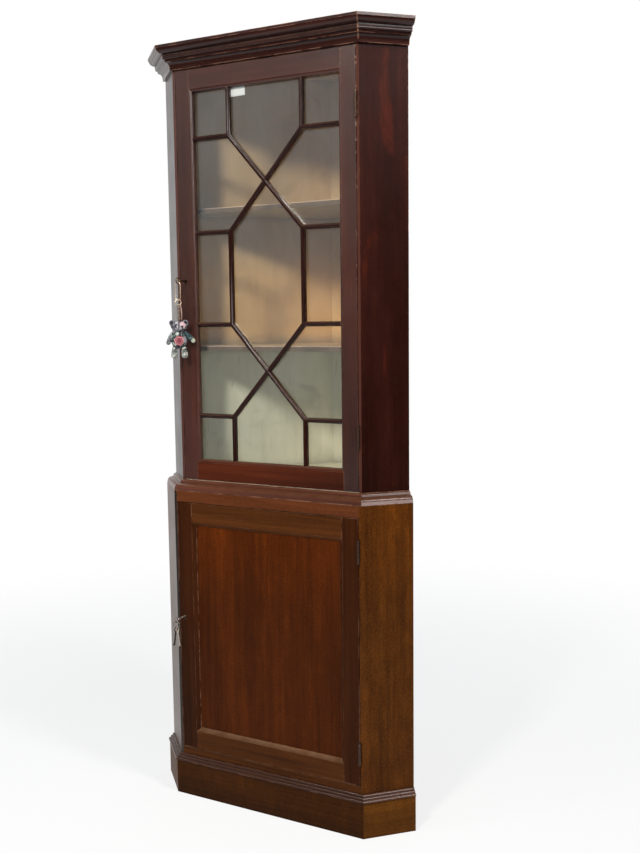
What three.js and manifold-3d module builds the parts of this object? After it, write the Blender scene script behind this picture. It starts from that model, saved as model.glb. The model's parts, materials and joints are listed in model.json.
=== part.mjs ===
// A two-part corner cupboard with a glazed upper door and a panelled lower door.
// Millimetres, +Z up. The front looks along -Y and the square corner of the walls is at the back.
// The origin is on the floor, under the middle of the front board's foot.
import * as THREE from "three";
import { mergeVertices } from "three/addons/utils/BufferGeometryUtils.js";
import Module from "manifold-3d";

const wasm = await Module();
wasm.setup();

// Case plan: a flat front, two short returns at 45 degrees and two backs that meet in the corner
const frontWidth = 588.4;
const returnLength = 142.5;
const upperSetback = 27.5;
const returnThickness = 18;
const backThickness = 12;
const boardThickness = 18;
const shelfThickness = 14;
const frontThickness = 22;
const cornerStripWidth = 8;

// Heights of the lower case, from the floor up
const plinthHeight = 98.5;
const bottomRailTop = 136.5;
const lowerDoorHeight = 716.5;
const friezeRailHeight = 31;
const lowerShelfRise = 350;

// Heights of the upper case, from the lower case's top up
const sillRise = 29.5;
const upperDoorHeight = 1118.7;
const corniceReveal = 1.3;
const corniceLip = 4;
const topBoardDrop = 12;
const lowShelfRise = 360.5;
const highShelfRise = 744;
const shelfSetback = 62;
const shelfSweep = 14;
const lowerShelfSetback = 40;

// Clearances: between fixed pieces, round the doors, at their stops, and where a cut must run clear
const seam = 0.3;
const doorGap = 1.5;
const doorStopRise = 6;
const housingDepth = 5;
const overrun = 2;
const rootOverlap = 0.1;

// Mouldings: how far they stand out and how high they are
const plinthDepth = 13.6;
const baseMouldingDepth = 17;
const baseMouldingHeight = 17.7;
const reedCount = 3;
const reedStepShare = 0.8;
const waistHeight = 29.2;
const corniceDepth = 48.2;
const corniceHeight = 60.2;
const curveSteps = 5;

// Door frames
const upperStileWidth = 42.6;
const upperTopRailWidth = 50.9;
const upperBottomRailWidth = 49.2;
const lowerStileWidth = 47.6;
const lowerTopRailWidth = 56.2;
const lowerBottomRailWidth = 51.2;
const glazingMould = { width: 8, quirk: 1.2, slope: 12, depth: 17 };
const panelMould = { width: 10, quirk: 0.8, slope: 10, depth: 10 };
const panelThickness = 6;
const glassThickness = 2.5;
const bevelBellyShare = 0.6;

// Glazing bars: thirteen panes
const barSpacing = 112;
const outerNodeRise = 378;
const innerNodeRise = 125;
const barWidth = 12.6;
const barFace = 4;
const barMouldEnd = 9.6;
const barSegments = 12;

// Butt hinges
const hingeLength = 62;
const knuckleRadius = 3.5;
const knuckleCount = 5;
const pinRadius = 1.6;
const leafThickness = 1.7;
const leafDepth = 16;
const upperHingeInset = 112;
const lowerHingeInset = 57;
const roundSegments = 12;

// Locks and their keys
const keyholeInset = 17.5;
const upperKeyholeRise = 554.6;
const lowerKeyholeRise = 387.7;
const lockWidth = 40;
const lockHeight = 50;
const lockThickness = 9;
const lockWall = 1.5;
const linerWall = 1.4;
const linerProud = 0.4;
const shankRadius = 2.6;
const bitReach = 8.5;
const bitWidth = 5;
const bitThickness = 2.2;
const boltHeight = 8.5;
const boltThickness = 4;
const boltLength = 28;
const boltSink = 1;
const upperKeyReach = 38;
const lowerKeyReach = 43;
const bowRadius = 7;
const bowWire = 1.6;
const keyholeSegments = 6;
const bowSegments = 16;
const wireSegments = 6;

// What hangs from the upper key
const loopHalfWidth = 8;
const loopHalfHeight = 24.5;
const loopWire = 0.9;
const claspRadius = 8;
const claspWire = 1.1;
const claspTurn = 0.35;
const claspSlack = 0.6;
const chainLength = 42;
const chainLinks = 6;
const linkWire = 0.9;
const linkHalfWidth = 2.6;
const linkSegments = 8;
const linkSides = 5;
const ribbonWidth = 3;
const ribbonThickness = 0.8;
const ribbonOffset = 4.5;
const softGap = 0.5;
const softSegments = 12;
const softRings = 8;
const bearHead = { across: 23, deep: 17, high: 15.5, taper: 0.08 };
const bearEar = { across: 8.5, deep: 5.5, high: 8.5, out: 18, up: 9 };
const bearBody = { across: 22, deep: 16, high: 27, taper: -0.12, drop: 51 };
const bearLeftArm = { across: 8, deep: 8, high: 21, taper: -0.14, out: 23.5, drop: 48, splay: 0.5 };
const bearRightArm = { across: 8, deep: 8, high: 23, taper: -0.14, out: 28, drop: 45, splay: 0.75 };
const bearLeg = { across: 10, deep: 10.5, high: 19, taper: -0.16, out: 14, drop: 84, splay: 0.06 };
const bearTurn = 0.63;

// What hangs from the lower key
const spareRingRadius = 10;
const spareRingWire = 0.9;
const spareShank = 48;
const spareBowRadius = 6;
const spareBowWire = 1.2;
const spareShankRadius = 1.9;
const spareOffset = 2.2;
const spareSplay = 0.14;
const spareSlack = 0.8;

// Plan geometry worked out from the driving sizes
const cornerTan = Math.tan(Math.PI / 8);
const diagonal = Math.SQRT1_2;
const halfFront = frontWidth / 2;
const wallEndX = halfFront + returnLength * diagonal;
const wallEndY = returnLength * diagonal;
const wallSum = wallEndX + wallEndY;
const lowerCaseTop = bottomRailTop + doorGap + lowerDoorHeight + doorGap + friezeRailHeight;
const lowerDoorBottom = bottomRailTop + doorGap;
const friezeRailBottom = lowerDoorBottom + lowerDoorHeight + doorGap;
const upperCaseBottom = lowerCaseTop + seam;
const sillTop = upperCaseBottom + sillRise;
const upperDoorBottom = sillTop + doorGap;
const topRailBottom = upperDoorBottom + upperDoorHeight + doorGap;
const corniceBottom = topRailBottom + corniceReveal;
const upperCaseTop = corniceBottom + corniceHeight - corniceLip;
const hingeAxisOut = knuckleRadius + seam;
const originSetback = frontThickness / 2;

// Colours as seen in the room's light
const finishes = {
  upperCase: { color: 0x4a2823, roughness: 0.45, metalness: 0 },
  upperDoor: { color: 0x56302a, roughness: 0.4, metalness: 0 },
  lowerCase: { color: 0x4e2c16, roughness: 0.4, metalness: 0 },
  lowerDoor: { color: 0x462410, roughness: 0.35, metalness: 0 },
  interior: { color: 0xa08c66, roughness: 0.8, metalness: 0 },
  glass: { color: 0xdfe6e2, roughness: 0.05, metalness: 0 },
  brass: { color: 0x9a7a44, roughness: 0.35, metalness: 0.9 },
  steel: { color: 0x8d8478, roughness: 0.4, metalness: 0.9 },
  gilt: { color: 0xc9a964, roughness: 0.3, metalness: 0.9 },
  cloth: { color: 0xa9a6a2, roughness: 0.9, metalness: 0 },
};

// Solids: closed meshes joined and cut
function solidOf(geometry) {
  const bare = geometry.index ? geometry.clone() : mergeVertices(geometry);
  bare.deleteAttribute("normal");
  bare.deleteAttribute("uv");
  const merged = mergeVertices(bare);
  const corners = merged.index.array;
  const kept = [];
  for (let i = 0; i < corners.length; i += 3) {
    const [a, b, c] = [corners[i], corners[i + 1], corners[i + 2]];
    if (a !== b && b !== c && c !== a) kept.push(a, b, c);
  }
  const vertProperties = Float32Array.from(merged.attributes.position.array);
  return new wasm.Manifold(new wasm.Mesh({ numProp: 3, vertProperties, triVerts: Uint32Array.from(kept) }));
}

function geometryOf(solid) {
  const mesh = solid.getMesh();
  const geometry = new THREE.BufferGeometry();
  geometry.setAttribute("position", new THREE.BufferAttribute(Float32Array.from(mesh.vertProperties), 3));
  geometry.setIndex(Array.from(mesh.triVerts));
  geometry.computeVertexNormals();
  return geometry;
}

function joined(...geometries) {
  return geometryOf(geometries.map(solidOf).reduce((whole, piece) => whole.add(piece)));
}

function cutAway(geometry, ...cutters) {
  return geometryOf(cutters.map(solidOf).reduce((whole, piece) => whole.subtract(piece), solidOf(geometry)));
}

function named(name, geometry, finish) {
  const mesh = new THREE.Mesh(geometry, new THREE.MeshStandardMaterial(finishes[finish]));
  mesh.name = name;
  return mesh;
}

// Simple shapes
function block(x0, x1, y0, y1, z0, z1) {
  return new THREE.BoxGeometry(x1 - x0, y1 - y0, z1 - z0)
    .translate((x0 + x1) / 2, (y0 + y1) / 2, (z0 + z1) / 2);
}

function plate(outline, z0, z1) {
  const shape = new THREE.Shape(outline.map(([x, y]) => new THREE.Vector2(x, y)));
  return new THREE.ExtrudeGeometry(shape, { depth: z1 - z0, bevelEnabled: false }).translate(0, 0, z0);
}

function faceShape(shape, y0, y1) {
  const depth = y1 - y0;
  const settings = { depth, bevelEnabled: false, curveSegments: keyholeSegments };
  return new THREE.ExtrudeGeometry(shape, settings).rotateX(Math.PI / 2).translate(0, y1, 0);
}

function rodAlongY(radius, y0, y1, x, z) {
  return new THREE.CylinderGeometry(radius, radius, y1 - y0, roundSegments).translate(x, (y0 + y1) / 2, z);
}

function rodAlongZ(radius, x, y, z0, z1) {
  return new THREE.CylinderGeometry(radius, radius, z1 - z0, roundSegments)
    .rotateX(Math.PI / 2).translate(x, y, (z0 + z1) / 2);
}

// A ring of wire in the XZ plane: two half circles joined by straight sides
function wireRing(halfWidth, halfHeight, wire, segments = bowSegments, sides = wireSegments) {
  const geometry = new THREE.TorusGeometry(halfWidth, wire, sides, segments);
  const position = geometry.attributes.position;
  const straight = halfHeight - halfWidth;
  for (let i = 0; i < position.count; i += 1) {
    const y = position.getY(i);
    position.setY(i, y + (y < -wire / segments ? -straight : straight));
  }
  return geometry.rotateX(Math.PI / 2);
}

// A path of lines and curves, given as shares of a depth and a height
function tracedProfile(stepShares, depth, height) {
  const path = new THREE.Path();
  path.moveTo(0, 0);
  for (const share of stepShares) {
    if (share.length === 2) path.lineTo(share[0] * depth, share[1] * height);
    else path.quadraticCurveTo(share[0] * depth, share[1] * height, share[2] * depth, share[3] * height);
  }
  return path.getPoints(curveSteps);
}

// Plan points of the case. Inset is measured inwards from the lower case's outer faces.
function frontCorner(side, inset) {
  return [side * (halfFront - inset * cornerTan), inset];
}

function wallPoint(side, fromWall, inset) {
  return [side * (wallEndX - diagonal * (fromWall + inset)), wallEndY + diagonal * (inset - fromWall)];
}

function halfOpening(inset) {
  return halfFront - inset * cornerTan - cornerStripWidth;
}

function innerFaceX(y, inset) {
  return halfFront + y - inset / diagonal;
}

function returnOutline(side, inset) {
  const innerInset = inset + returnThickness;
  const edgeX = halfOpening(inset);
  const edgeY = edgeX - halfFront + innerInset / diagonal;
  return [
    frontCorner(side, inset),
    [side * edgeX, inset],
    [side * edgeX, edgeY],
    wallPoint(side, 0, innerInset),
    wallPoint(side, 0, inset),
  ];
}

function backOutline(side, inset) {
  const start = inset + returnThickness + seam;
  const mitre = (wallEndX - seam / 2) / diagonal;
  return [
    wallPoint(side, 0, start),
    wallPoint(side, 0, mitre),
    wallPoint(side, backThickness, mitre - backThickness),
    wallPoint(side, backThickness, start),
  ];
}

// The space inside a case behind frontY, grown into the boards by the housing or kept clear of them
function innerOutline(inset, frontY, clearance, sweep) {
  const innerInset = inset + returnThickness + clearance;
  const frontX = innerFaceX(frontY, innerInset);
  const fromWall = backThickness + clearance;
  const backY = wallSum - fromWall / diagonal;
  const front = new THREE.QuadraticBezierCurve(
    new THREE.Vector2(-frontX, frontY),
    new THREE.Vector2(0, frontY + sweep * 2),
    new THREE.Vector2(frontX, frontY),
  );
  const frontPoints = sweep === 0 ? [front.v0, front.v2] : front.getPoints(bowSegments / 2);
  return [
    ...frontPoints.map((point) => [point.x, point.y]),
    wallPoint(1, fromWall, innerInset),
    [0, backY],
    wallPoint(-1, fromWall, innerInset),
  ];
}

// A length of moulding that runs past the given stations, mitred at each
function mouldingRun(profile, stations) {
  const rows = stations.map((station) => profile.map((point) => station(point.x, point.y)));
  const count = profile.length;
  const positions = rows.flat(2);
  const corners = [];
  for (let row = 0; row + 1 < rows.length; row += 1) {
    for (let i = 0; i < count; i += 1) {
      const next = (i + 1) % count;
      const [a, b] = [row * count + i, row * count + next];
      corners.push(a, b + count, b, a, a + count, b + count);
    }
  }
  const last = (rows.length - 1) * count;
  for (const [a, b, c] of THREE.ShapeUtils.triangulateShape(profile, [])) {
    corners.push(a, b, c, last + a, last + c, last + b);
  }
  const geometry = new THREE.BufferGeometry();
  geometry.setAttribute("position", new THREE.Float32BufferAttribute(positions, 3));
  geometry.setIndex(corners);
  geometry.computeVertexNormals();
  return geometry;
}

function wallStation(side, inset, bottom) {
  return (out, rise) => [...wallPoint(side, 0, inset - out), bottom + rise];
}

function cornerStation(side, inset, bottom, pull = 0) {
  return (out, rise) => {
    const [x, y] = frontCorner(side, inset - out);
    return [x - side * pull, y, bottom + rise];
  };
}

function wholeRun(profile, inset, bottom) {
  return mouldingRun(profile, [
    wallStation(-1, inset, bottom),
    cornerStation(-1, inset, bottom),
    cornerStation(1, inset, bottom),
    wallStation(1, inset, bottom),
  ]);
}

// Outlines of the mouldings as shares of their depth and height: [x, y] or [controlX, controlY, x, y]
const waistShares = [
  [1, 0],
  [0.97, 0.06],
  [0.96, 0.62, 0.37, 0.65],
  [0.32, 0.69],
  [0.3, 0.93, 0.09, 0.95],
  [0, 1],
];
const corniceShares = [
  [0.15, 0],
  [0.17, 0.14],
  [0.2, 0.33, 0.44, 0.34],
  [0.46, 0.43],
  [0.5, 0.44],
  [0.62, 0.45, 0.58, 0.54],
  [0.6, 0.55],
  [0.64, 0.59, 0.6, 0.62],
  [0.6, 0.655],
  [0.68, 0.665],
  [0.92, 0.7, 0.96, 0.875],
  [1, 0.885],
  [1, 1],
  [0, 1],
];
const plinthShares = [
  [1, 0],
  [1, 0.975],
  [0.985, 1, 0.9, 1],
  [0, 1],
];

function reededProfile(depth, height) {
  const step = depth / reedCount;
  const rise = height / reedCount;
  const path = new THREE.Path();
  path.moveTo(0, 0);
  path.lineTo(depth, 0);
  for (let reed = 0; reed < reedCount; reed += 1) {
    const out = depth - reed * step;
    const top = (reed + 1) * rise;
    path.quadraticCurveTo(out, top, out - step * reedStepShare, top);
    if (reed + 1 < reedCount) path.lineTo(out - step, top);
  }
  path.lineTo(0, height);
  return path.getPoints(curveSteps);
}

// Back faces of applied mouldings stand one seam off the case
function backed(profile) {
  return profile.map((point) => new THREE.Vector2(Math.max(point.x, seam), point.y));
}

// The recess for one hinge leaf and the hinge's place on its door
function hingeBottoms(doorBottom, doorHeight, insetFromEnds) {
  return {
    bottom: doorBottom + insetFromEnds,
    top: doorBottom + doorHeight - insetFromEnds - hingeLength,
  };
}

function leafRecess(side, edgeX, faceY, bottom) {
  const reach = leafThickness + seam;
  const x = [edgeX, edgeX + side * reach];
  return block(
    Math.min(...x) - (side < 0 ? 0 : overrun),
    Math.max(...x) + (side < 0 ? overrun : 0),
    faceY - overrun,
    faceY + leafDepth + seam,
    bottom - seam,
    bottom + hingeLength + seam,
  );
}

// A leaf carries every other knuckle. The door's leaf also carries the pin.
function hingeLeaf(side, inset, bottom) {
  const doorEdge = halfOpening(inset) - doorGap;
  const axisX = doorEdge + doorGap / 2;
  const axisY = inset - hingeAxisOut;
  const isDoors = side < 0;
  const edge = isDoors ? doorEdge : halfOpening(inset);
  const [x0, x1] = isDoors ? [edge - leafThickness, edge] : [edge, edge + leafThickness];
  const pieces = [block(x0, x1, inset + seam, inset + leafDepth, bottom, bottom + hingeLength)];
  const pitch = hingeLength / knuckleCount;
  for (let knuckle = isDoors ? 1 : 0; knuckle < knuckleCount; knuckle += 2) {
    const z0 = bottom + knuckle * pitch + seam / 2;
    const z1 = bottom + (knuckle + 1) * pitch - seam / 2;
    pieces.push(rodAlongZ(knuckleRadius, axisX, axisY, z0, z1));
    pieces.push(block(x0, x1, axisY, inset + leafThickness, z0, z1));
  }
  const pin = isDoors ? pinRadius : pinRadius + seam;
  const whole = joined(...pieces);
  if (isDoors) return joined(whole, rodAlongZ(pin, axisX, axisY, bottom, bottom + hingeLength));
  return cutAway(whole, rodAlongZ(pin, axisX, axisY, bottom - overrun, bottom + hingeLength + overrun));
}

// Shelves stand in housings cut into the boards round them
function shelfSolid(inset, setback, sweep, bottom) {
  return plate(innerOutline(inset, inset + setback, -housingDepth, sweep), bottom, bottom + shelfThickness);
}

function shelfHousing(inset, setback, bottom) {
  const outline = innerOutline(inset, inset + setback - seam, -housingDepth - seam, 0);
  return plate(outline, bottom - seam, bottom + shelfThickness + seam);
}

function lowerCase() {
  const group = new THREE.Group();
  const shelfBottom = bottomRailTop + lowerShelfRise;
  const housing = shelfHousing(0, lowerShelfSetback, shelfBottom);
  const hinges = hingeBottoms(lowerDoorBottom, lowerDoorHeight, lowerHingeInset);
  const opening = halfOpening(0);
  const behindDoor = frontThickness + seam;
  for (const [side, word] of [[-1, "left"], [1, "right"]]) {
    let board = cutAway(plate(returnOutline(side, 0), 0, lowerCaseTop), housing);
    if (side > 0) {
      board = cutAway(board, leafRecess(1, opening, 0, hinges.bottom), leafRecess(1, opening, 0, hinges.top));
    }
    group.add(named(`lower_return_${word}`, board, "lowerCase"));
    const back = cutAway(plate(backOutline(side, 0), 0, lowerCaseTop), housing);
    group.add(named(`lower_back_${word}`, back, "interior"));
  }
  const railEnd = opening - seam;
  const rail = (z0, z1) => block(-railEnd, railEnd, 0, frontThickness, z0, z1);
  group.add(named("bottom_rail", rail(0, bottomRailTop), "lowerCase"));
  group.add(named("frieze_rail", rail(friezeRailBottom, lowerCaseTop), "lowerCase"));
  const floorTop = bottomRailTop + doorStopRise;
  const inner = innerOutline(0, behindDoor, seam, 0);
  group.add(named("lower_bottom_board", plate(inner, floorTop - boardThickness, floorTop), "interior"));
  group.add(named("lower_top_board", plate(inner, lowerCaseTop - boardThickness, lowerCaseTop), "interior"));
  group.add(named("lower_shelf", shelfSolid(0, lowerShelfSetback, 0, shelfBottom), "interior"));
  group.add(named("lower_hinge_low_case_leaf", hingeLeaf(1, 0, hinges.bottom), "brass"));
  group.add(named("lower_hinge_high_case_leaf", hingeLeaf(1, 0, hinges.top), "brass"));
  const plinth = backed(tracedProfile(plinthShares, plinthDepth, plinthHeight));
  group.add(named("plinth", wholeRun(plinth, 0, 0), "lowerCase"));
  const reeds = backed(reededProfile(baseMouldingDepth, baseMouldingHeight));
  group.add(named("base_moulding", wholeRun(reeds, 0, plinthHeight + seam), "lowerCase"));
  const waist = backed(tracedProfile(waistShares, upperSetback, waistHeight));
  group.add(named("waist_moulding", wholeRun(waist, upperSetback, upperCaseBottom), "upperCase"));
  return group;
}

// The floor board of the upper case reaches the front under the door, with a step that stops the door
function steppedSill() {
  const inset = upperSetback;
  const opening = halfOpening(inset) - seam;
  const innerInset = inset + returnThickness + seam;
  const shoulderY = opening - halfFront + innerInset / diagonal;
  const [, , right, back, left] = innerOutline(inset, inset, seam, 0);
  const outline = [
    [-opening, inset],
    [opening, inset],
    [opening, shoulderY],
    right,
    back,
    left,
    [-opening, shoulderY],
  ];
  const behind = innerOutline(inset, inset + frontThickness + seam, seam, 0);
  return joined(
    plate(outline, sillTop - boardThickness, sillTop),
    plate(behind, sillTop, sillTop + doorStopRise),
  );
}

function upperCase() {
  const group = new THREE.Group();
  const inset = upperSetback;
  const shelves = [["low", sillTop + lowShelfRise], ["high", sillTop + highShelfRise]];
  const housings = shelves.map(([, bottom]) => shelfHousing(inset, shelfSetback, bottom));
  const hinges = hingeBottoms(upperDoorBottom, upperDoorHeight, upperHingeInset);
  const opening = halfOpening(inset);
  for (const [side, word] of [[-1, "left"], [1, "right"]]) {
    let board = cutAway(plate(returnOutline(side, inset), upperCaseBottom, upperCaseTop), ...housings);
    if (side > 0) {
      const recesses = [hinges.bottom, hinges.top].map((bottom) => leafRecess(1, opening, inset, bottom));
      board = cutAway(board, ...recesses);
    }
    group.add(named(`upper_return_${word}`, board, "upperCase"));
    const back = cutAway(plate(backOutline(side, inset), upperCaseBottom, upperCaseTop), ...housings);
    group.add(named(`upper_back_${word}`, back, "interior"));
  }
  const railEnd = opening - seam;
  const topRail = block(-railEnd, railEnd, inset, inset + frontThickness, topRailBottom, upperCaseTop);
  group.add(named("upper_top_rail", topRail, "upperCase"));
  group.add(named("upper_bottom_board", steppedSill(), "interior"));
  const inner = innerOutline(inset, inset + frontThickness + seam, seam, 0);
  const topBoardTop = upperCaseTop - topBoardDrop;
  group.add(named("upper_top_board", plate(inner, topBoardTop - boardThickness, topBoardTop), "interior"));
  for (const [word, bottom] of shelves) {
    group.add(named(`upper_shelf_${word}`, shelfSolid(inset, shelfSetback, shelfSweep, bottom), "interior"));
  }
  group.add(named("upper_hinge_low_case_leaf", hingeLeaf(1, inset, hinges.bottom), "brass"));
  group.add(named("upper_hinge_high_case_leaf", hingeLeaf(1, inset, hinges.top), "brass"));
  return group;
}

function cornice() {
  const group = new THREE.Group();
  const profile = backed(tracedProfile(corniceShares, corniceDepth, corniceHeight));
  const wall = (side) => wallStation(side, upperSetback, corniceBottom);
  const corner = (side, pull) => cornerStation(side, upperSetback, corniceBottom, pull);
  group.add(named("cornice_left", mouldingRun(profile, [wall(-1), corner(-1, 0)]), "upperCase"));
  group.add(named("cornice_front", mouldingRun(profile, [corner(-1, seam), corner(1, seam)]), "upperCase"));
  group.add(named("cornice_right", mouldingRun(profile, [corner(1, 0), wall(1)]), "upperCase"));
  return group;
}

// Section of the moulding worked on a door member's inner edge: x inwards, y back from the face
function ovoloSection(mould, shift) {
  const path = new THREE.Path();
  path.moveTo(-rootOverlap, mould.quirk);
  path.lineTo(0, mould.quirk);
  path.quadraticCurveTo(mould.width, mould.quirk, mould.width, mould.slope);
  path.lineTo(mould.width, mould.depth);
  path.lineTo(-rootOverlap, mould.depth);
  return trimmed(path.getPoints(curveSteps), shift);
}

function bevelSection(mould) {
  const path = new THREE.Path();
  const belly = [mould.width * bevelBellyShare, mould.slope * (1 - bevelBellyShare)];
  path.moveTo(-rootOverlap, mould.quirk);
  path.lineTo(0, mould.quirk);
  path.quadraticCurveTo(...belly, mould.width, mould.slope);
  path.lineTo(-rootOverlap, mould.depth);
  return trimmed(path.getPoints(curveSteps), 0);
}

function trimmed(points, shift) {
  const moved = points.map((point) => new THREE.Vector2(point.x + shift, point.y));
  return moved.filter((point, i) => i === 0 || point.distanceTo(moved[i - 1]) > 0);
}

// A strip of that section along X, centred, with both ends mitred. Its root is at z = 0.
function mitredStrip(section, length, pull) {
  const geometry = new THREE.ExtrudeGeometry(new THREE.Shape(section), { depth: length, bevelEnabled: false })
    .rotateY(-Math.PI / 2).translate(length / 2, 0, 0);
  const position = geometry.attributes.position;
  for (let i = 0; i < position.count; i += 1) {
    const x = position.getX(i);
    position.setX(i, x - Math.sign(x) * (position.getZ(i) + pull));
  }
  return geometry;
}

// A rail or stile with its outer edge at z = 0 and its inner edge towards +Z
function frameMember(width, length, sightLength, offset, sections, pull) {
  const core = block(-length / 2, length / 2, 0, frontThickness, 0, width);
  const strip = (section) => mitredStrip(section, sightLength, pull).translate(offset, 0, width);
  const strips = sections.map(strip);
  return joined(core, ...strips);
}

// Four members round an opening, in the door's own frame: x from its middle, z from its foot
function doorFrame(door) {
  const { width, height, stile, topRail, bottomRail, sections } = door;
  const sightWidth = width - 2 * stile;
  const sightHeight = height - topRail - bottomRail;
  const railLength = sightWidth - 2 * seam;
  const lift = (bottomRail - topRail) / 2;
  return {
    left: frameMember(stile, height, sightHeight, -lift, sections, 0)
      .rotateY(Math.PI / 2).translate(-width / 2, 0, height / 2),
    right: frameMember(stile, height, sightHeight, lift, sections, 0)
      .rotateY(-Math.PI / 2).translate(width / 2, 0, height / 2),
    bottom: frameMember(bottomRail, railLength, sightWidth, 0, sections, seam),
    top: frameMember(topRail, railLength, sightWidth, 0, sections, seam)
      .rotateY(Math.PI).translate(0, 0, height),
  };
}

// Keyhole with its round end at the origin and its slot below
function keyholeShape(grow) {
  const radius = shankRadius + seam + grow;
  const half = bitThickness / 2 + seam + grow;
  const lean = Math.asin(half / radius);
  const drop = bitReach + seam + grow - half;
  const shape = new THREE.Shape();
  shape.absarc(0, 0, radius, lean - Math.PI / 2, 1.5 * Math.PI - lean, false);
  shape.absarc(0, -drop, half, Math.PI, 2 * Math.PI, false);
  return shape;
}

// Lock case behind the stile with a liner through it. Origin on the key's axis at the door's face.
function lockBody() {
  const front = frontThickness + seam;
  const back = front + lockThickness;
  const left = -keyholeInset + seam;
  const shell = block(left, left + lockWidth, front, back, -lockHeight / 2, lockHeight / 2);
  const liner = faceShape(keyholeShape(linerWall), -linerProud, front + lockWall / 2);
  const keyway = faceShape(keyholeShape(0), -overrun, front + lockWall + seam);
  const bitSweep = (Math.hypot(bitReach, bitThickness / 2) + seam) / Math.cos(Math.PI / roundSegments);
  const pocket = rodAlongY(bitSweep, front + lockWall, back - lockWall, 0, 0);
  const boltTop = boltTopEdge() + seam;
  const channel = block(
    left - overrun,
    left + boltLength + seam,
    boltFront() - seam,
    boltFront() + boltThickness + seam,
    boltTop - boltHeight - 2 * seam,
    boltTop,
  );
  return cutAway(joined(shell, liner), keyway, pocket, channel);
}

function boltFront() {
  return frontThickness + seam + lockWall + boltSink;
}

function boltTopEdge() {
  return -bitReach - 2 * seam - lockWall;
}

function boltBody() {
  const left = -keyholeInset + seam;
  const top = boltTopEdge();
  return block(left, left + boltLength, boltFront(), boltFront() + boltThickness, top - boltHeight, top);
}

// A key with the middle of its bow at the origin and its shank along +Y
function keyBody(bow, wire, shank, length) {
  const ring = wireRing(bow, bow, wire).rotateZ(Math.PI / 2);
  const collar = rodAlongY(shank + wire / 2, bow + wire, bow + 2 * wire, 0, 0);
  const stem = rodAlongY(shank, bow, length, 0, 0);
  const reach = bitReach * shank / shankRadius;
  const bit = block(-bitThickness / 2, bitThickness / 2, length - bitWidth, length, -reach, 0);
  return joined(ring, collar, stem, bit);
}

function lockKey(reach) {
  const length = reach + frontThickness + seam + lockThickness - lockWall - seam;
  return keyBody(bowRadius, bowWire, shankRadius, length);
}

// Half of a glazing bar's section, from its face back: [distance from the middle, depth]
function barSection() {
  const half = barWidth / 2;
  const run = barMouldEnd - barFace;
  const shares = barShares.map(([across, deep]) => [half * across, barFace + run * deep]);
  return [...shares, [half, glazingMould.depth]];
}

const barShares = [[0, 0], [0.22, 0], [0.5, 0.24], [0.72, 0.83], [1, 1]];

function glazingBar(from, to) {
  const half = barSection();
  const other = half.slice(1).reverse().map(([across, deep]) => [-across, deep]);
  const shape = new THREE.Shape([...half, ...other].map(([across, deep]) => new THREE.Vector2(across, deep)));
  const [dx, dz] = [to[0] - from[0], to[1] - from[1]];
  return new THREE.ExtrudeGeometry(shape, { depth: Math.hypot(dx, dz), bevelEnabled: false })
    .rotateY(Math.atan2(dx, dz)).translate(from[0], 0, from[1]);
}

// A turned boss of the same section where bars meet
function barBoss([x, z]) {
  const section = [...barSection(), [0, glazingMould.depth]];
  const points = section.map(([across, deep]) => new THREE.Vector2(across, deep));
  return new THREE.LatheGeometry(points, barSegments).translate(x, 0, z);
}

function glazingBars(door) {
  const { width, height, stile, topRail, bottomRail } = door;
  const halfSight = width / 2 - stile - seam;
  const [foot, head] = [bottomRail + seam, height - topRail - seam];
  const middle = (foot + head) / 2;
  const rises = [-outerNodeRise, -innerNodeRise, innerNodeRise, outerNodeRise].map((rise) => middle + rise);
  const bars = [];
  for (const side of [-1, 1]) {
    const x = side * barSpacing;
    bars.push(glazingBar([x, foot], [x, rises[0]]));
    bars.push(glazingBar([x, rises[1]], [x, rises[2]]));
    bars.push(glazingBar([x, rises[3]], [x, head]));
    bars.push(glazingBar([x, rises[0]], [-x, rises[1]]));
    bars.push(glazingBar([x, rises[3]], [-x, rises[2]]));
    for (const rise of rises) {
      bars.push(glazingBar([x, rise], [side * halfSight, rise]));
      bars.push(barBoss([x, rise]));
    }
  }
  return cutAway(joined(...bars), ...mouldCutters(door));
}

// The door's own moulding, one seam larger, scribes the ends of the bars
function mouldCutters(door) {
  const { width, height, stile, topRail, bottomRail } = door;
  const sightWidth = width - 2 * stile;
  const sightHeight = height - topRail - bottomRail;
  const section = ovoloSection({ ...glazingMould, depth: glazingMould.depth + seam }, seam);
  const level = () => mitredStrip(section, sightWidth, 0);
  const upright = () => mitredStrip(section, sightHeight, 0);
  const middle = bottomRail + sightHeight / 2;
  return [
    level().translate(0, 0, bottomRail),
    level().rotateY(Math.PI).translate(0, 0, height - topRail),
    upright().rotateY(Math.PI / 2).translate(-sightWidth / 2, 0, middle),
    upright().rotateY(-Math.PI / 2).translate(sightWidth / 2, 0, middle),
  ];
}

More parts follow.
